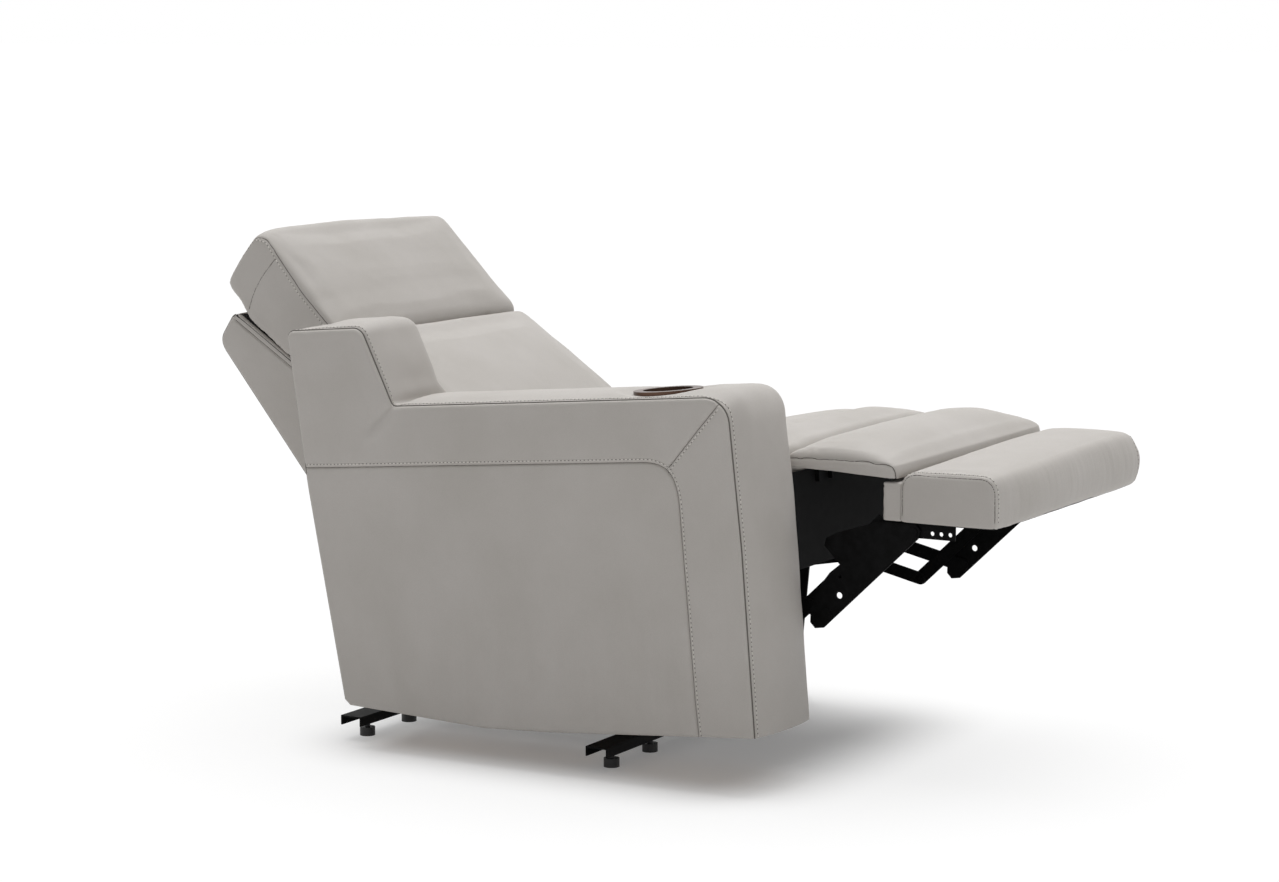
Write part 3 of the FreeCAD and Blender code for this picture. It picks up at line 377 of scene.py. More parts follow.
def inside(points, outline):
    """Which 2D points lie inside a closed outline."""
    x, y = points[:, 0], points[:, 1]
    hit = np.zeros(len(points), bool)
    for (x1, y1), (x2, y2) in zip(outline, np.roll(outline, -1, axis=0)):
        crosses = (y1 > y) != (y2 > y)
        with np.errstate(divide="ignore", invalid="ignore"):
            at = x1 + (y - y1) * (x2 - x1) / (y2 - y1)
        hit ^= crosses & (x < at)
    return hit


def side_normals(line, closed=False):
    """Unit normals on the left of a 2D polyline, mitred at its corners."""
    line = np.asarray(line, float)
    if closed:
        steps = np.roll(line, -1, axis=0) - line
        before, after = np.roll(steps, 1, axis=0), steps
    else:
        steps = np.diff(line, axis=0)
        before, after = np.vstack([steps[:1], steps]), np.vstack([steps, steps[-1:]])

    def left(v):
        v = v / np.linalg.norm(v, axis=1)[:, None]
        return np.column_stack([-v[:, 1], v[:, 0]])

    a, b = left(before), left(after)
    mid = a + b
    mid /= np.linalg.norm(mid, axis=1)[:, None]
    return mid / np.clip((mid * a).sum(axis=1), 0.5, 1)[:, None]


def edge_drop(distance, radius):
    """How far a rolled edge falls at a distance from the rim."""
    left = np.clip(radius ** 2 - (radius - distance) ** 2, 0, None)
    return np.where(distance < radius, radius - np.sqrt(left), 0)


def length_along(points):
    """The running length at each point of a line."""
    steps = np.linalg.norm(np.diff(points, axis=0), axis=1)
    return np.concatenate([[0], np.cumsum(steps)])


def away(points, lines, gap):
    """The points that are farther than a gap from every line."""
    for line in lines:
        points = points[line_distance(points, line) > gap]
    return points


RIM_ROWS = (0.8, 2.0, 4.0, 7.0, 11.0, 16.0)         # mm in from the outline
SEAM_ROWS = (0.0, 0.9, -0.9, 2.0, -2.0, 3.8, -3.8, 6.4, -6.4, 10.0, -10.0)


def panel(name, matrix, outline, face, back, height, seams, body, step=8.0, edge=8.0):
    """An upholstered flat side: a soft face over the outline and a flat back.

    The face stands at x = face and bulges away from the back by height(points, distance),
    its rim rolls in by the edge radius, and each seam gets finer rows of points.
    """
    ring = resample(np.vstack([outline, outline[:1]]), 5.0)[:-1]
    loop = np.vstack([ring, ring[:1]])
    normals = side_normals(ring, closed=True)
    if not inside(ring[:1] + normals[:1] * 0.5, ring)[0]:
        normals = -normals
    rows = []
    for depth in RIM_ROWS:
        row = ring + normals * depth
        keep = inside(row, ring) & (line_distance(row, loop) > depth - 0.25)
        rows.append(row[keep])
    for i, seam in enumerate(seams):
        fine = resample(seam, 5.0)
        side = side_normals(fine)
        for shift in SEAM_ROWS:
            row = fine + side * shift
            keep = inside(row, ring) & (line_distance(row, loop) > 0.6)
            for other in seams[:i]:
                keep &= line_distance(row, other) > 10.6
            rows.append(row[keep])
    low, high = ring.min(axis=0), ring.max(axis=0)
    grid = np.array(np.meshgrid(np.arange(low[0], high[0], step),
                                np.arange(low[1], high[1], step))).reshape(2, -1).T
    grid = grid[inside(grid, ring)]
    grid = grid[line_distance(grid, loop) > 19]
    split = len(RIM_ROWS)
    rim_rows = [away(row, seams, 11) for row in rows[:split]]
    points = np.vstack([ring, *rim_rows, *rows[split:], away(grid, seams, 13.5)])
    count = len(ring)
    found = delaunay_2d_cdt([Vector(p) for p in points], [],
                            [list(range(count))], 1, 1e-4)
    flat = np.array([tuple(v) for v in found[0]])
    depth = line_distance(flat, loop)
    out = 1 if face > back else -1
    x = face + out * (height(flat, depth) * smooth(0, edge, depth) - edge_drop(depth, edge))
    front = np.column_stack([x, flat])
    base = len(front)
    faces = [list(t) for t in found[2]]
    rim = [nearest(flat, p) for p in ring]
    for i in range(count):
        j = (i + 1) % count
        faces.append([rim[i], rim[j], base + j, base + i])
    faces.append([base + i for i in range(count)])
    points = to_world(matrix, np.vstack([front, at_x(back, ring)]))
    return make(name, points, faces, LEATHER, body)


EDGE_COLUMNS = (0, 0.7, 1.8, 3.5, 6, 9, 13, 18)     # mm in from a band's edge


def band(name, matrix, path, low_x, high_x, height, thick, body, near=5.0, far=5.0):
    """A strip of upholstery along a path in side view, closed, with rolled edges.

    height(x, arc, spots) gives how far the leather stands out of the path, and near and
    far are the radii of its two long edges.
    """
    spots = resample(path, 7.0)
    out = side_normals(spots)
    arc = length_along(spots)
    inner = list(np.linspace(low_x + 25, high_x - 25, int((high_x - low_x - 50) / 8) + 1))
    columns = np.array([low_x + e for e in EDGE_COLUMNS] + inner +
                       [high_x - e for e in EDGE_COLUMNS[::-1]])
    x, s = np.meshgrid(columns, arc)
    y, z, normal_y, normal_z = (np.repeat(column[:, None], len(columns), axis=1)
                                for column in (*spots.T, *out.T))
    h = height(x, s, y, z)
    for distance, radius in ((x - low_x, near), (high_x - x, far)):
        h = h - edge_drop(distance, radius(y, z) if callable(radius) else radius)
    top = np.stack([x, y + normal_y * h, z + normal_z * h], axis=-1)
    low = np.minimum(-thick, h - 3)
    bottom = np.stack([x, y + normal_y * low, z + normal_z * low], axis=-1)
    rows, cols = x.shape
    points = np.vstack([top.reshape(-1, 3), bottom.reshape(-1, 3)])
    base = rows * cols
    faces = []
    for i in range(rows - 1):
        for j in range(cols - 1):
            a = i * cols + j
            quad = [a, a + 1, a + cols + 1, a + cols]
            faces += [quad, [base + v for v in reversed(quad)]]
    loop = ([i * cols for i in range(rows)] +
            [(rows - 1) * cols + j for j in range(1, cols)] +
            [i * cols + cols - 1 for i in range(rows - 2, -1, -1)] +
            list(range(cols - 2, 0, -1)))
    for a, b in zip(loop, loop[1:] + loop[:1]):
        faces.append([a, b, base + b, base + a])
    return make(name, to_world(matrix, points), faces, LEATHER, body)


def ring_faces(rows, sides):
    """The faces of a closed tube of some rows of points around it."""
    faces = []
    for i in range(rows - 1):
        for k in range(sides):
            a, b = i * sides + k, i * sides + (k + 1) % sides
            faces.append([a, b, b + sides, a + sides])
    return faces + [list(range(sides))[::-1], [(rows - 1) * sides + k for k in range(sides)]]


def tube(points, radius, sides=8):
    """Points and faces of a round cord along a 3D line."""
    points = np.asarray(points, float)
    steps = np.gradient(points, axis=0)
    steps /= np.linalg.norm(steps, axis=1)[:, None]
    side = np.cross(steps[0], [0.31, 0.52, 0.79])
    verts = []
    for p, d in zip(points, steps):
        side = side - d * (side @ d)
        side /= np.linalg.norm(side)
        other = np.cross(d, side)
        for k in range(sides):
            angle = 2 * math.pi * k / sides
            verts.append(p + radius * (side * math.cos(angle) + other * math.sin(angle)))
    return verts, ring_faces(len(points), sides)


class Heap:
    """Many small shapes gathered into one piece."""

    def __init__(self):
        self.points, self.faces = [], []

    def add(self, points, faces):
        base = len(self.points)
        self.points.extend(points)
        self.faces.extend([[base + v for v in f] for f in faces])

    def piece(self, name, material, body):
        make(name, self.points, self.faces, material, body, sharp=0)


threads, seam_shade_lines, painted_shade_welts = (
    {body: Heap() for body in ("carriage", "back", "headrest", "ottoman", "calf")}
    for _ in range(3))


def surface(*objects):
    """A tree for finding places on the pieces' surfaces, in world metres."""
    points, faces = [], []
    for obj in objects:
        base = len(points)
        points.extend(v.co.copy() for v in obj.data.vertices)
        faces.extend([base + i for i in p.vertices] for p in obj.data.polygons)
    return BVHTree.FromPolygons(points, faces)


def finder(spots):
    """A tree that finds the nearest of some points."""
    tree = kdtree.KDTree(len(spots))
    for i, p in enumerate(spots):
        tree.insert(Vector(p), i)
    tree.balance()
    return tree


def laid(tree, points, toward=None, reach=0.06):
    """The points moved onto the surface, with its normals there."""
    spots, normals = [], []
    for p in points:
        hit = None
        if toward is not None:
            start = Vector(p) - Vector(toward) * reach
            hit = tree.ray_cast(start, Vector(toward), 2 * reach)
        if hit is None or hit[0] is None:
            hit = tree.find_nearest(Vector(p))
        spots.append(np.array(hit[0]))
        normals.append(np.array(hit[1]))
    return np.array(spots), np.array(normals)


def even(points, pitch):
    """Points and directions at an even pitch along a 3D line."""
    points = np.asarray(points, float)
    arc = length_along(points)
    spots = np.arange(pitch / 2, arc[-1], pitch)
    at, ahead, behind = (
        np.column_stack([np.interp(spots + shift, arc, points[:, k]) for k in range(3)])
        for shift in (0, pitch * 0.3, -pitch * 0.3))
    step = ahead - behind
    return at, step / np.linalg.norm(step, axis=1)[:, None]


def stitches(body, spots, normals_at, pitch=0.0080, long=0.0052, radius=0.0009):
    """Short thread stitches along a line that lies on the leather, and dark dashes of painted
    shade at the holes between.
    """
    at, ahead = even(spots, pitch)
    tree = finder(spots)
    for p, d in zip(at, ahead):
        up = normals_at[tree.find(Vector(p))[1]]
        side = np.cross(d, up)
        side /= max(np.linalg.norm(side), 1e-9)
        rise = np.cross(side, d)
        verts = []
        for share, size in ((-0.5, 0.45), (-0.36, 1.0), (0.0, 1.15), (0.36, 1.0), (0.5, 0.45)):
            lift = radius * (0.55 - 2.5 * share * share)
            for k in range(6):
                angle = 2 * math.pi * k / 6
                up_by = lift + radius * size * math.sin(angle)
                out_by = radius * size * math.cos(angle)
                verts.append(p + d * long * share + rise * up_by + side * out_by)
        threads[body].add(verts, ring_faces(5, 6))
        # A dark dash at each hole between stitches: painted shade of its dimple
        gap = p + d * pitch / 2
        seam_shade_lines[body].add(*tube([gap - d * 0.001 + up * 0.0001, gap + up * 0.0002,
                                    gap + d * 0.001 + up * 0.0001], 0.0006, 5))


# soft pieces
def coords(obj, what="co"):
    out = np.empty(len(obj.data.vertices) * 3)
    obj.data.vertices.foreach_get(what, out)
    return out.reshape(-1, 3)


def set_coords(obj, points):
    obj.data.vertices.foreach_set("co", np.asarray(points, float).reshape(-1))
    obj.data.update()


def applied(obj):
    """Bakes the object's modifiers into its mesh."""
    graph = bpy.context.evaluated_depsgraph_get()
    mesh = bpy.data.meshes.new_from_object(obj.evaluated_get(graph), depsgraph=graph)
    old = obj.data
    obj.modifiers.clear()
    obj.data = mesh
    bpy.data.meshes.remove(old)


def spread(obj, field, rounds):
    """Averages a field on the piece's points with their neighbours."""
    count = len(obj.data.vertices)
    edges = np.empty(len(obj.data.edges) * 2, int)
    obj.data.edges.foreach_get("vertices", edges)
    a, b = edges.reshape(-1, 2).T
    degree = np.bincount(np.concatenate([a, b]), minlength=count).astype(float)
    field = field.copy()
    for _ in range(rounds):
        total = np.zeros_like(field)
        for k in range(3):
            total[:, k] = (np.bincount(a, field[b, k], count) +
                           np.bincount(b, field[a, k], count))
        field += 0.5 * (total / degree[:, None] - field)
    return field


def relax(obj, rounds):
    set_coords(obj, spread(obj, coords(obj), rounds))


CLOTH_SETTINGS = {"quality": 5, "mass": 0.3, "tension_stiffness": 18,
                  "compression_stiffness": 14, "shear_stiffness": 6, "bending_stiffness": 0.6,
                  "use_pressure": True, "uniform_pressure_force": 4.0,
                  "vertex_group_mass": "pin"}
CLOTH_FRAMES = 20
START_SIZE = 0.997      # of the solid, before it is blown up
KEPT_SHARE = 0.35       # of the cloth's movement
EVEN_ROUNDS = 30        # of averaging that movement


def swelled(node, matrix, body, pinned, proud, cap, reshape, sag=1.2, voxel=0.006,
            also=()):
    """A cushion blown up from its CAD solid by a short cloth simulation.

    pinned(x, y, z) says which points stay on their seat and cap is the most that a point
    may move in mm. proud(x, y, z) and sag are how far the result may stand outside the
    solid or sink inside it. reshape(x, y, z) changes the form in place at the end, and also
    names the other nodes that the cover wraps.
    """
    source = frame["nodes"][node]
    mesh = source.data.copy()
    mesh.materials.clear()
    obj = placed(f"{node}_cover", mesh)
    solid = surface(source)
    start = to_local(matrix, coords(obj))
    middle = (start.min(axis=0) + start.max(axis=0)) / 2
    set_coords(obj, to_world(matrix, middle + (start - middle) * START_SIZE))
    remesh = obj.modifiers.new("Remesh", "REMESH")
    remesh.mode = "VOXEL"
    remesh.voxel_size = voxel
    applied(obj)
    relax(obj, 2)
    before = coords(obj)
    group = obj.vertex_groups.new(name="pin")
    hold = np.nonzero(pinned(*to_local(matrix, before).T))[0]
    group.add([int(i) for i in hold], 1.0, "REPLACE")
    cloth = obj.modifiers.new("Cloth", "CLOTH")
    for key, value in CLOTH_SETTINGS.items():
        setattr(cloth.settings, key, value)
    cloth.settings.effector_weights.gravity = 0
    cloth.collision_settings.use_self_collision = False
    cloth.point_cache.frame_start = 1
    cloth.point_cache.frame_end = CLOTH_FRAMES
    for number in range(1, CLOTH_FRAMES + 1):
        scene.frame_set(number)
    applied(obj)
    scene.frame_set(1)
    moved = coords(obj) - before
    size = np.linalg.norm(moved, axis=1) * 1000
    moved *= KEPT_SHARE * np.minimum(1, cap / np.maximum(size, 1e-6))[:, None]
    set_coords(obj, before + spread(obj, moved, EVEN_ROUNDS))
    relax(obj, 1)
    keep_near(obj, solid, matrix, proud, sag)
    relax(obj, 1)
    sub = obj.modifiers.new("Subdivision", "SUBSURF")
    sub.levels = sub.render_levels = 1
    applied(obj)
    local = to_local(matrix, coords(obj))
    reshape(*local.T)
    set_coords(obj, to_world(matrix, local))
    obj.data.materials.clear()
    obj.data.materials.append(LEATHER)
    obj.data.shade_smooth()
    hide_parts(node, *also)
    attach(obj, body)
    return obj


def keep_near(obj, solid, matrix, proud, sag):
    """Draws points that stand too far outside the solid, or sink too far in, to its face."""
    points = coords(obj)
    allowed = proud(*to_local(matrix, points).T)
    for i, p in enumerate(points):
        spot, normal, _, distance = solid.find_nearest(Vector(p))
        distance *= 1000
        if distance < 0.05:
            continue
        off = Vector(p) - spot
        limit = allowed[i] if off.dot(normal) > 0 else sag
        if distance > limit:
            points[i] = np.array(spot) + np.array(off) * (limit / distance)
    set_coords(obj, points)


def dark_below(obj, level):
    """Gives the faces that look down from below a level in mm the black dust cloth."""
    obj.data.materials.append(BLACK_CLOTH)
    height = (LEVEL @ Vector((0, 0, level))).z
    for face in obj.data.polygons:
        if face.normal.z < -0.75 and face.center.z < height:
            face.material_index = 1


def on_surface(obj, matrix, line):
    """A local line laid on the piece: world points and normals."""
    tree = surface(obj)
    spots = laid(tree, to_world(matrix, resample(line, 4.0)))[0]
    for _ in range(3):
        spots[1:-1] = (spots[:-2] + spots[1:-1] * 2 + spots[2:]) / 4
    return laid(tree, spots)


def carve(obj, matrix, line, depth, width, pillow, soft):
    """Sinks a stitched seam into the piece along a local line, in mm."""
    spots = on_surface(obj, matrix, line)[0]
    points, normals = coords(obj), coords(obj, "normal")
    low, high = spots.min(axis=0) - 0.03, spots.max(axis=0) + 0.03
    near = np.nonzero(((points > low) & (points < high)).all(axis=1))[0]
    tree = finder(spots)
    distance = np.array([tree.find(Vector(points[i]))[2] for i in near]) * 1000
    sink = depth * bell(distance, width) + pillow * bell(distance, soft)
    points[near] -= normals[near] * (sink / 1000)[:, None]
    set_coords(obj, points)


def lay_seam_shade(body, spots, normals, radius=0.8, sink=0.25):
    """A thin dark tube in the bottom of a seam that paints the groove's shade, sizes in mm."""
    line = np.asarray(spots) - np.asarray(normals) * sink / 1000
    seam_shade_lines[body].add(*tube(line, radius / 1000, 6))


def press(obj, matrix, shape):
    """Moves points along their normals by shape(local, local normals), in mm."""
    points, normals = coords(obj), coords(obj, "normal")
    turn = np.array(matrix.to_3x3()) * 1000
    height = shape(*to_local(matrix, points).T, normals @ turn)
    points += normals * (height / 1000)[:, None]
    set_coords(obj, points)


# the arm
ARM = [(0, 0), (0, 597), (702, 597), (759, 739), (922, 739), (903, 450), (858, 51),
       (847, 40), (693, 21), (556, 4.2), (420, 0)]
arm_outline = rounded(ARM, {1: 45, 2: 12, 3: 24, 4: 13, 5: 900, 7: 4})
FOOT_INSET, FRONT_INSET, TOP_INSET = 4.0, 12.5, 3.0
LEAN_FROM = 330
cover_outline = rounded([(FOOT_INSET, 0), (FOOT_INSET, LEAN_FROM),
                         (FRONT_INSET, 597 - TOP_INSET), (702, 597 - TOP_INSET)] + ARM[3:],
                        {1: 900, 2: 46, 3: 12, 4: 24, 5: 13, 6: 900, 8: 4})
INNER = [(10, 0), (10, 588), (738, 588), (791, 707), (850, 724), (916, 728), (898, 450),
         (854, 55), (843, 44), (689, 25), (552, 8), (416, 4)]
inner_outline = rounded(INNER, {1: 45, 2: 16, 3: 38, 5: 20, 8: 4})
CUP_SPOT = (107.0, 180.0)

(WING_REAR, WING_TOP), (BEND_REAR, BEND_TOP) = ARM[4:6]
SEAM_HIGH = 485
rear_end = BEND_REAR + (SEAM_HIGH - BEND_TOP) / (WING_TOP - BEND_TOP) * (WING_REAR - BEND_REAR)
side_seam = np.vstack([[(rear_end, SEAM_HIGH), (186, SEAM_HIGH)],
                       bezier((186, SEAM_HIGH), (140, SEAM_HIGH), (117, 468), (116, 405))[1:],
                       [(112, 1)]])
miter_seam = np.array([(22, 588), (134, 473)])


def arm_folds(points):
    """Soft vertical drapes in the lower half of the side, and broad unevenness."""
    y, z = points.T
    h = np.zeros(len(points))
    for spot, lean, wide, tall, low, high in (
            (196, 0.05, 15, 1.5, 40, 330), (262, -0.03, 21, 1.7, 20, 390),
            (330, 0.04, 14, 1.2, 0, 300), (392, -0.02, 19, 1.6, 0, 340),
            (455, 0.02, 12, 1.0, 10, 260), (508, -0.05, 22, 1.5, 10, 350),
            (586, 0.03, 16, 1.1, 20, 300), (655, -0.03, 24, 1.4, 40, 380),
            (742, 0.06, 17, 1.0, 60, 330), (150, 0.02, 9, 0.9, 20, 220)):
        centre = spot + lean * (z - 200) + 5 * np.sin(z / 97 + spot)
        share = smooth(high, low + 40, z) * smooth(low - 40, low + 30, z)
        h += 4.8 * tall * bell(y - centre, wide) * share
    h += 0.7 * waves(3, y / 260, z / 420) + 0.25 * waves(5, y / 70, z / 160)
    # The fold that runs down from the notch
    for line, wide, tall in ((((692, 584), (734, 544)), 9, 3.2),
                             (((706, 594), (750, 556)), 8, -5.0),
                             (((716, 628), (700, 600)), 9, -2.4),
                             (((752, 540), (790, 500)), 15, 2.0)):
        h += tall * bell(line_distance(points, line), wide)
    return h


def arm_outer_height(points, depth):
    y, z = points.T
    h = 3.0 * smooth(0, 70, depth) + arm_folds(points)
    for seam in (side_seam, miter_seam):
        d = line_distance(points, seam)
        h -= 3.0 * bell(d, 1.6) + 1.5 * bell(d, 13)
        h += 0.22 * waves(11, y / 13, z / 13) * bell(d, 12)
    return h


outer_cover = panel("arm_outer_cover", CARRIAGE, cover_outline, 3.0, 14.0, arm_outer_height,
                    [side_seam, miter_seam], "carriage", edge=7.0)
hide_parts("arm_outer_panel")


def arm_inner_height(points, depth):
    y, z = points.T
    return 2.0 * smooth(0, 60, depth) * (0.75 + 0.25 * waves(7, y / 150, z / 150))


inner_cover = panel("arm_inner_cover", CARRIAGE, inner_outline, 211.5, 200.0,
                    arm_inner_height, [], "carriage", step=12.0, edge=9.0)
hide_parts("arm_inner_panel")

band_path = arm_outline[:nearest(arm_outline, ARM[6]) + 1]


def band_height(x, arc, y, z):
    t = (x - 107) / 98
    dome = np.clip(1 - t * t, 0, 1)
    top = smooth(560, 597, z) * (1 - smooth(690, 720, y))
    wing = smooth(600, 660, z) * smooth(700, 740, y)
    rear = smooth(840, 880, y)
    crown = 4.5 + 5.5 * top * (1 - rear) + 8.0 * wing * (1 - rear) - 1.5 * rear
    front = 1 - smooth(30, 70, y)
    h = (crown + 6.5 * front * (1 - smooth(540, 590, z))) * dome ** 0.75
    inset = np.interp(z, (LEAN_FROM, 594), (FOOT_INSET, FRONT_INSET))
    inset = inset * (1 - 0.22 * smooth(555, 580, z))
    h += 6.5 * front * (1 - smooth(380, 560, z)) * smooth(30, 160, x)
    h -= (inset * front + TOP_INSET * top * (1 - front)) * (1 - smooth(9, 60, x))
    near_cup = 1 - smooth(66, 100, np.hypot(x - CUP_SPOT[0], y - CUP_SPOT[1]))
    h = h * (1 - near_cup * (z > 590))
    h += 0.45 * waves(21, x / 90, arc / 120) * smooth(0, 30, arc)
    notch = bell(np.hypot(y - 699, z - 597), 14)
    return h * (1 - 0.9 * notch) - 2.5 * notch


def wing_edge(plain, soft):
    """The radius of an edge of the band: plain, and softer on the front of the wing."""
    return lambda y, z: plain + (soft - plain) * smooth(597, 625, z) * (1 - smooth(800, 850, y))


arm_band = band("arm_band_cover", CARRIAGE, band_path, 9.0, 206.0, band_height, 15.0,
                "carriage", near=wing_edge(4.5, 9.0),
                far=wing_edge(12.0, 40.0))
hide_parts("arm_top_pad")

# The opening for the cup holder, hidden under its flange
tool_points, tool_faces = tube(to_world(CARRIAGE, [(107, 180, 540), (107, 180, 640)]),
                               0.0505, sides=40)
tool = make("cup_opening_tool", tool_points, tool_faces, LEATHER, "carriage")
bpy.context.view_layer.update()
opening = arm_band.modifiers.new("Opening", "BOOLEAN")
opening.operation = "DIFFERENCE"
opening.solver = "EXACT"
opening.object = tool
applied(arm_band)
bpy.data.objects.remove(tool)
arm_band.data.shade_smooth()
arm_band.data.set_sharp_from_angle(angle=math.radians(50))

outer_tree = surface(outer_cover)
band_tree = surface(arm_band)


def welt(body, matrix, x, line, radius):
    """A dark welt along a line in side view, its radius in mm; its dark colour is painted shade
    of the seam groove.
    """
    line = at_x(x, resample(line, 4.0))
    painted_shade_welts[body].add(*tube(to_world(matrix, line), radius / 1000))


# A dark welt between the outer side and the band, from the front's foot to the notch and on
# over the wing to the rear, its dark colour painted shade of the seam groove
cover_path = cover_outline[:nearest(cover_outline, ARM[6]) + 1]
welt("carriage", CARRIAGE, 10.4, cover_path + side_normals(cover_path) * 0.45, 1.35)


def on_side(line, step, shift=0.0):
    """A line beside a seam of the arm's side: world points and normals."""
    flat = resample(line, step)
    flat = flat + side_normals(flat) * shift
    flat = flat[inside(flat, cover_outline)]
    return laid(outer_tree, to_world(CARRIAGE, at_x(-4.0, flat)), toward=(1, 0, 0))


for seam in (side_seam, miter_seam):
    lay_seam_shade("carriage", *on_side(seam, 1.5))
for seam, shift in ((side_seam, -6.0), (miter_seam, -5.5)):
    stitches("carriage", *on_side(seam, 6.0, shift))

# Topstitching on the band beside the dark welt: front, top and wing
flat = resample(band_path, 6.0)
out = side_normals(flat)
world = to_world(CARRIAGE, at_x(17.5, flat + out * 6))
turn = np.array(CARRIAGE.to_3x3()) * 1000
places = [laid(band_tree, [p], toward=-Vector(turn @ (0, *n)).normalized(), reach=0.02)
          for p, n in zip(world, out)]
stitches("carriage", *(np.vstack(part) for part in zip(*places)))

# the back
shell_side = rounded([(0, 20), (0, 474), (-5, 500), (-5, 710), (62, 710), (73, 688),
                      (165, 405), (302, -30), (122, -30)], {3: 16, 4: 26, 5: 30, 6: 60, 7: 8})


def shell_height(points, depth):
    y, z = points.T
    h = 2.2 * smooth(0, 45, depth) + 0.5 * waves(31, y / 90, z / 180)
    return h - 2.0 * bell(y - 9.0, 1.6) * smooth(30, 60, z)


front_seam = np.array([(11, 24), (11, 470), (7, 500), (7, 698)])
for label, face, back in (("near", 221.5, 231.0), ("far", 862.5, 853.0)):
    cover = panel(f"back_side_cover_{label}", BACK, shell_side, face, back, shell_height,
                  [front_seam], "back", step=11.0, edge=6.0)
    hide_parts("back_shell")
    out = -1 if label == "near" else 1
    flat = resample(front_seam, 6.0)
    world = to_world(BACK, at_x(face + out * 6.0, flat))
    lay_seam_shade("back", *laid(surface(cover), world, toward=(-out, 0, 0)))

rear_path = shell_side[nearest(shell_side, (-3, 708)):]
rear_path = rear_path[:nearest(rear_path, (300, -28)) + 1]


def rear_height(x, arc, y, z):
    t = (x - 542) / 320
    h = 4.5 * np.clip(1 - t * t, 0, 1) ** 0.6 + 0.9 * waves(41, x / 240, arc / 260)
    h -= 2.0 * bell(z - 404, 2.4) + 1.2 * bell(z - 404, 14)
    for k, spot in enumerate((330, 455, 560, 660, 770)):
        h += 1.0 * bell(x - spot - 12 * np.sin(arc / 150 + k), 26) * smooth(380, 200, z)
    return h


back_rear = band("back_rear_cover", BACK, rear_path, 225.0, 859.0, rear_height, 8.0,
                 "back")
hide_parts("back_shell")
# Dark welts on the rear's two edges, painted shade of the seam grooves
for x in (227.0, 857.0):
    welt("back", BACK, x, rear_path + side_normals(rear_path) * 0.35, 1.3)
rear_tree = surface(back_rear)
line = np.column_stack([np.linspace(235, 849, 120), np.full(120, 176.0), np.full(120, 410.0)])
spots, normals = laid(rear_tree, to_world(BACK, line))
stitches("back", spots, normals)


# cushions
def seat_form(x, y, z):
    z += 2.0 * smooth(480, 500, z)
    near = (1 - smooth(226, 280, x)) * smooth(410, 425, z)
    y += 14 * near * (1 - smooth(15, 70, y))


def back_form(x, y, z):
    x += 9 * smooth(700, 860, x) * smooth(360, 460, z)
    rise = smooth(425, 466, z)
    z += rise * (7.0 + 6.0 * smooth(-94, -112, y))
    y -= 9.0 * smooth(80, 440, z) * smooth(-40, -90, y)


def head_form(x, y, z):
    rear = smooth(500, 552, z) * (1 - smooth(655, 705, z))
    y += 15.5 * rear * smooth(-66, -22, y)
    y -= 6.0 * smooth(-80, -150, y) * smooth(620, 735, z)
    z += 14.0 * smooth(590, 740, z)
    x -= 2.5 * (1 - smooth(226, 300, x))
    x += 10 * smooth(700, 860, x)
    low = smooth(575, 490, z) * smooth(-66, -112, y)
    y -= 8.0 * low
    near_top = smooth(226, 300, x) * (1 - smooth(480, 780, x))
    z += 7.0 * near_top * smooth(680, 750, z)


def ottoman_form(x, y, z):
    base = z < 400
    z[base] = 400 - (400 - z[base]) * (400 - 360.0) / (400 - 371.3)
    middle_high = np.sin(np.clip((z - 360) / 92, 0, 1) * math.pi) ** 0.7
    x += (15 + 17 * middle_high) * smooth(560, 860, x)
    y += 6.0 * smooth(-215, -178, y)
    front = smooth(-300, -346, y)
    y -= front * (2.0 + 9.0 * middle_high * smooth(232, 400, x))
    z += smooth(428, 450, z) * (2.0 + 2.0 * smooth(-190, -310, y)
                                + 8.0 * smooth(240, 760, x))


def calf_form(x, y, z):
    base = z < 460
    reach = 436 + 9.5 * (y + 165) / 198
    z[base] = (460 - (460 - z) * (460 - reach) / (460 - 449.8))[base]
    front = y < -120
    y[front] = -120 + (y[front] + 120) * 45 / 56
    reach = 12.5 + 10 * (1 - smooth(228, 275, x))
    y += reach * smooth(-20, 33, y) * (1 - 0.6 * smooth(466, 480, z))
    share = np.clip((y + 165) / 204, 0, 1)
    z += 3.0 * smooth(466, 492, z) * np.sin(share * math.pi)
    x += (23 + 9 * np.sin(np.clip((z - 440) / 50, 0, 1) * math.pi)) * smooth(560, 860, x)


seat = swelled("seat_cushion", CARRIAGE, "carriage",
               lambda x, y, z: (z < 383) | ((y < 20) & (z < 445)),
               lambda x, y, z: np.where((x < 224) | (x > 852), 1.0,
                                        np.where(y < 20, 1.5, 6.0)),
               24, reshape=seat_form)
back = swelled("back_cushion", BACK, "back",
               lambda x, y, z: y > -9,
               lambda x, y, z: np.where((x < 226) | (x > 858), 1.5,
                                        np.where(z > 455, 1.0, np.where(z < 60, 2.0, 6.0))),
               26, reshape=back_form)
head = swelled("headrest_cushion", BACK, "headrest",
               lambda x, y, z: (y > -70) & (z < 560),
               lambda x, y, z: np.where(z < 500, 0.8, 4.0), 22, sag=0.8, reshape=head_form)
ottoman = swelled("ottoman_cushion", LEVEL, "ottoman",
                  lambda x, y, z: z < 379,
                  lambda x, y, z: np.where(y > -180, 0.5, 1.8), 12, sag=0.6, voxel=0.005,
                  reshape=ottoman_form, also=("ottoman_board",))
calf = swelled("calf_cushion", LEVEL, "calf",
               lambda x, y, z: z < 456,
               lambda x, y, z: np.where(y > 25, 0.8, np.where(y < -168, 0.8, 4.0)), 16,
               sag=0.8, voxel=0.005, reshape=calf_form, also=("calf_board",))
dark_below(ottoman, 366)
dark_below(calf, 444)

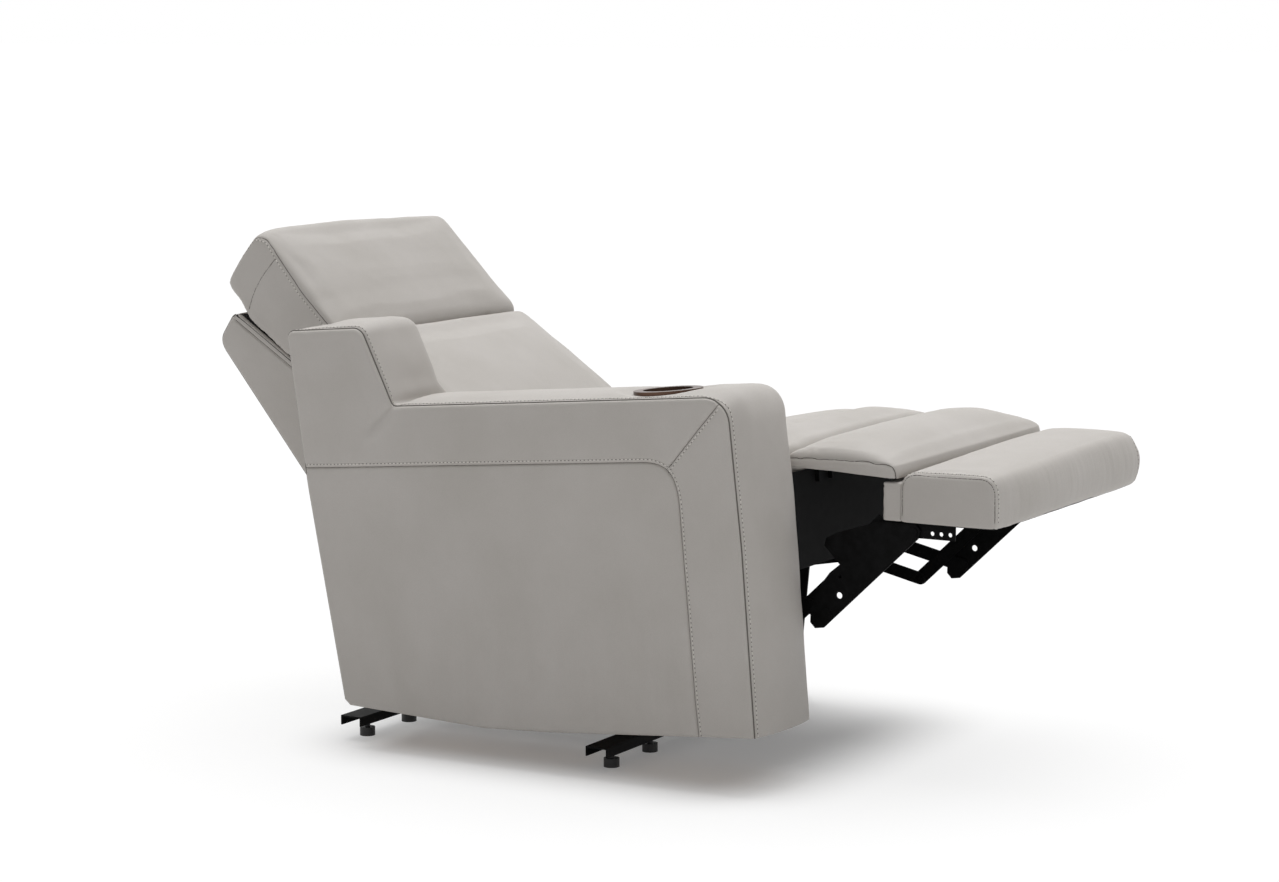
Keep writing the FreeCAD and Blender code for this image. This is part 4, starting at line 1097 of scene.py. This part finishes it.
# ottoman seams
side_edge = rounded([(-172, 374), (-172, 449), (-347, 449), (-347, 374)], {1: 26, 2: 26},
                    arcs=8)
for x in (227.0, 879.0):
    carve(ottoman, LEVEL, at_x(x, side_edge), depth=1.6, width=2.0, pillow=0.8, soft=9)


def ottoman_shape(x, y, z, n):
    face = np.clip(-n[:, 1], 0, 1) * smooth(-330, -345, y)
    h = face * (0.30 * waves(51, x / 44, z / 260) + 0.10 * waves(52, x / 17, z / 150))
    h += 0.3 * waves(53, x / 150, y / 110, z / 110)
    return h


press(ottoman, LEVEL, ottoman_shape)
for x, inward in ((227.0, 1), (879.0, -1)):
    lay_seam_shade("ottoman", *on_surface(ottoman, LEVEL, at_x(x, side_edge)))
    stitches("ottoman", *on_surface(ottoman, LEVEL, at_x(x + inward * 9.5, side_edge)))

# calf pad seams
calf_lines = [np.array([(x, 54, 461), (x, -40, 466), (x, -100, 465), (x, -140, 462),
                        (x, -158, 457), (x, -166, 440)]) for x in (225.5, 886.0)]
for line in calf_lines:
    carve(calf, LEVEL, line, depth=2.2, width=2.4, pillow=1.4, soft=10)


def calf_shape(x, y, z, n):
    h = 0.6 * waves(61, x / 140, y / 80)
    near = bell(x - 224, 40) + bell(x - 860, 40)
    ruck = np.sin((y + 0.15 * x) / 5.4 + 1.4 * waves(62, y / 50, x / 40))
    h += 0.9 * ruck * near * smooth(-40, 20, y) * smooth(458, 470, z)
    h += 0.35 * waves(63, x / 28, y / 60) * near
    return h


press(calf, LEVEL, calf_shape)
for line in calf_lines:
    lay_seam_shade("calf", *on_surface(calf, LEVEL, line))


# seat seams
def seat_shape(x, y, z, n):
    h = 0.8 * waves(71, x / 180, y / 140)
    d = np.abs(y - 125 - 3 * np.sin(x / 90))
    up = np.clip(n[:, 2], 0, 1)
    h -= (3.0 * bell(d, 3.0) + 5.0 * bell(d, 22)) * up
    h += 0.5 * np.sin(x / 7.5 + 2 * waves(72, x / 60, y / 40)) * bell(d - 12, 10) * up
    return h


press(seat, CARRIAGE, seat_shape)


# back cushion seams
def back_shape(x, y, z, n):
    h = 0.5 * waves(81, x / 190, z / 170) + 0.12 * waves(82, x / 50, z / 60)
    return h * smooth(-20, -60, y)


press(back, BACK, back_shape)
for x in (226.0, 858.0):
    line = np.array([(x, -100, 60), (x, -108, 240), (x, -104, 440)])
    carve(back, BACK, line, depth=1.8, width=2.4, pillow=1.2, soft=10)
    lay_seam_shade("back", *on_surface(back, BACK, line))

# headrest seams
head_lines = []
for x, inward in ((226.0, 1), (866.0, -1)):
    line = np.array([(x, -46, 760), (x, -110, 758), (x, -155, 749), (x, -168, 722),
                     (x, -152, 680), (x, -128, 604), (x, -113, 533), (x, -108, 500)])
    carve(head, BACK, line, depth=2.0, width=2.3, pillow=1.3, soft=11)
    cross = np.array([(x, -145, 686), (x, -120, 690), (x, -90, 692), (x, -50, 690),
                      (x, -26, 684)])
    carve(head, BACK, cross, depth=1.5, width=2.0, pillow=0.8, soft=9)
    head_lines.append((line, cross, inward))


def head_shape(x, y, z, n):
    h = 0.4 * waves(91, x / 190, z / 110) + 0.1 * waves(92, x / 60, z / 40)
    near = bell(x - 226, 60) + bell(x - 858, 60)
    h += 0.35 * np.sin((x + 0.6 * z) / 8.5 + 1.5 * waves(93, x / 60, z / 60)) * near * smooth(
        690, 735, z)
    return h


press(head, BACK, head_shape)
for line, cross, inward in head_lines:
    lay_seam_shade("headrest", *on_surface(head, BACK, line))
    lay_seam_shade("headrest", *on_surface(head, BACK, cross))
    beside = line.copy()
    beside[:, 1] += 7.0
    beside[:, 0] -= inward * 2
    stitches("headrest", *on_surface(head, BACK, beside[1:]))


# flap and far cover
def box_pad(name, matrix, low, high, radius, shape, body, step):
    """A closed upholstered block with rounded edges, pressed by a shape."""
    low, high = np.array(low, float), np.array(high, float)
    mesh = bpy.data.meshes.new(name)
    bm = bmesh.new()
    bmesh.ops.create_cube(bm, size=1.0)
    size = high - low
    for v in bm.verts:
        v.co = Vector(low + (np.array(v.co) + 0.5) * size)
    for axis in range(3):
        n = max(1, int(size[axis] / step))
        for k in range(1, n):
            spot = [0.0, 0.0, 0.0]
            spot[axis] = low[axis] + size[axis] * k / n
            normal = [0.0, 0.0, 0.0]
            normal[axis] = 1.0
            bmesh.ops.bisect_plane(bm, geom=bm.verts[:] + bm.edges[:] + bm.faces[:],
                                   plane_co=spot, plane_no=normal)
    bm.to_mesh(mesh)
    bm.free()
    obj = placed(name, mesh)
    points = coords(obj)
    core = np.clip(points, low + radius, high - radius)
    off = points - core
    length = np.linalg.norm(off, axis=1)
    off /= np.maximum(length, 1e-9)[:, None]
    inner = length < 1e-6
    points = np.where(inner[:, None], points, core + off * radius)
    set_coords(obj, points)
    normals = coords(obj, "normal")
    points = points + normals * shape(*points.T, normals)[:, None]
    set_coords(obj, to_world(matrix, points))
    obj.data.materials.append(LEATHER)
    obj.data.shade_smooth()
    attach(obj, body)
    return obj


def flap_shape(x, y, z, n):
    return 0.5 * waves(101, x / 60, z / 40) - 1.6 * bell(z - 424, 1.8) * (np.abs(n[:, 2]) < 0.8)


flap = box_pad("ottoman_flap_cover", LEVEL, (229, -168.5, 363), (855, -133.5, 431), 3.5,
               flap_shape, "ottoman", step=3.5)
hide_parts("ottoman_flap")


def far_shape(x, y, z, n):
    return 0.7 * waves(111, y / 120, z / 50) - 1.4 * bell(z - 352, 1.8) * (n[:, 0] > 0.5)


far_cover = box_pad("far_side_leather", CARRIAGE, (851.5, 17.5, 272), (859.0, 600, 373.6), 2.5,
                    far_shape, "carriage", step=4.0)
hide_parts("far_side_cover")

# gathered trims: thread stitches, and the dark welts and seam lines that are painted shade
for body, part in (("carriage", "arm"), ("back", "back"), ("ottoman", "ottoman"),
                   ("headrest", "headrest")):
    threads[body].piece(f"{part}_stitching", THREAD, body)
    if painted_shade_welts[body].points:
        painted_shade_welts[body].piece(f"{part}_piping", WELT_PAINTED_SHADE, body)
for body, heap in seam_shade_lines.items():
    heap.piece(f"{body}_seams", SEAM, body)

# CAD finishes
slots = {}
for entry in frame["record"].get("materials", []) or []:
    for node in entry.get("nodes", entry.get("subcomponents", [])):
        slots[node] = entry.get("slot", entry.get("name"))
SPECIAL = {"seat_webbing": WEBBING, "back_webbing": WEBBING}
for node, obj in frame["nodes"].items():
    material = SPECIAL.get(node)
    if material is None:
        current = [m.name for m in obj.data.materials if m]
        key = next((k for k in FINISH if any(k in c for c in current)), None)
        material = FINISH[slots.get(node, key) or "black_steel"]
    obj.data.materials.clear()
    obj.data.materials.append(material)

# stage, light, camera
FLOOR_TONE, PAST_TONE = (0.86, 0.86, 0.86, 1), (0.24, 0.24, 0.24, 1)
FLOOR_GLOW, PAST_GLOW = 0.17, 0.80
CHAIR_MIDDLE, CHAIR_HALF = (0.0, -0.02, 0.0), (0.30, 0.30, 0.0)     # metres
FADE_FROM, FADE_TO = 0.02, 0.30     # metres out from the rectangle of those halves
SKY_LIGHT, SKY_SEEN = 0.295, 1.0


def seen_rays(tree):
    """1 for what the camera sees directly or in a gloss, and 0 for the light that falls."""
    rays = tree.nodes.new("ShaderNodeLightPath")
    seen = tree.nodes.new("ShaderNodeMath")
    seen.operation = "MAXIMUM"
    tree.links.new(rays.outputs["Is Camera Ray"], seen.inputs[0])
    tree.links.new(rays.outputs["Is Glossy Ray"], seen.inputs[1])
    return seen.outputs["Value"]


def floor_material(name):
    """White that takes the chair's shadow under it and glows plain white farther out."""
    n = Nodes(name)
    off = n.two("VectorMath", "SUBTRACT", n.place, CHAIR_MIDDLE)
    folded = n.add("VectorMath", operation="ABSOLUTE", Vector=off).outputs["Vector"]
    beyond = n.two("VectorMath", "SUBTRACT", folded, CHAIR_HALF)
    past = n.two("VectorMath", "MAXIMUM", beyond, (0.0, 0.0, 0.0))
    reach = n.add("VectorMath", operation="LENGTH", Vector=past).outputs["Value"]
    ahead = n.add("MapRange", interpolation_type="SMOOTHSTEP", Value=reach,
                  From_Min=FADE_FROM, From_Max=FADE_TO).outputs["Result"]
    seen = seen_rays(n.tree)
    tone = n.add("Mix", data_type="RGBA")
    n.link(n.two("Math", "MULTIPLY", ahead, seen), tone.inputs["Factor"])
    tone.inputs["A"].default_value = FLOOR_TONE
    tone.inputs["B"].default_value = PAST_TONE
    n.colour(tone.outputs["Result"])
    n.fixed(Roughness=0.9, Specular_IOR_Level=0.0, Emission_Color=(1, 1, 1, 1))
    glow = n.scaled(ahead, FLOOR_GLOW, PAST_GLOW)
    n.link(n.two("Math", "MULTIPLY", seen, glow),
           n.shader.inputs["Emission Strength"])
    return n.material


def sun(name, energy, angle, direction):
    """A sun of an angular size in degrees that stands in a direction."""
    light = bpy.data.lights.new(name, "SUN")
    light.energy = energy
    light.angle = math.radians(angle)
    placed(name, light).rotation_euler = Vector(direction).to_track_quat("Z", "Y").to_euler()


floor_mesh = bpy.data.meshes.new("floor")
floor_mesh.from_pydata([(-90, -90, 0), (90, -90, 0), (90, 90, 0), (-90, 90, 0)], [],
                       [(0, 1, 2, 3)])
floor = placed("floor", floor_mesh)
floor_mesh.materials.append(floor_material("floor_white"))

scene.world = bpy.data.worlds.new("studio")
scene.world.use_nodes = True
tree = scene.world.node_tree
background = tree.nodes["Background"]
background.inputs["Color"].default_value = (1.0, 1.0, 1.0, 1)
level = tree.nodes.new("ShaderNodeMapRange")
level.inputs["To Min"].default_value = SKY_LIGHT
level.inputs["To Max"].default_value = SKY_SEEN
tree.links.new(seen_rays(tree), level.inputs["Value"])
tree.links.new(level.outputs["Result"], background.inputs["Strength"])

sun("key", 2.22, 62, (0.36, 0.10, 1.0))
sun("fill", 0.05, 24, (-0.60, -0.40, 0.35))

camera = bpy.data.cameras.new("camera")
camera.sensor_width = 36.0
camera.lens = 92.88
camera.clip_end = 300
scene.camera = placed("camera", camera)
scene.camera.location = (-5.3882, -3.0472, 1.3659)
scene.camera.rotation_euler = Vector((0.8629, 0.4882, -0.1305)).to_track_quat(
    "-Z", "Y").to_euler()
scene.view_settings.view_transform = "Standard"
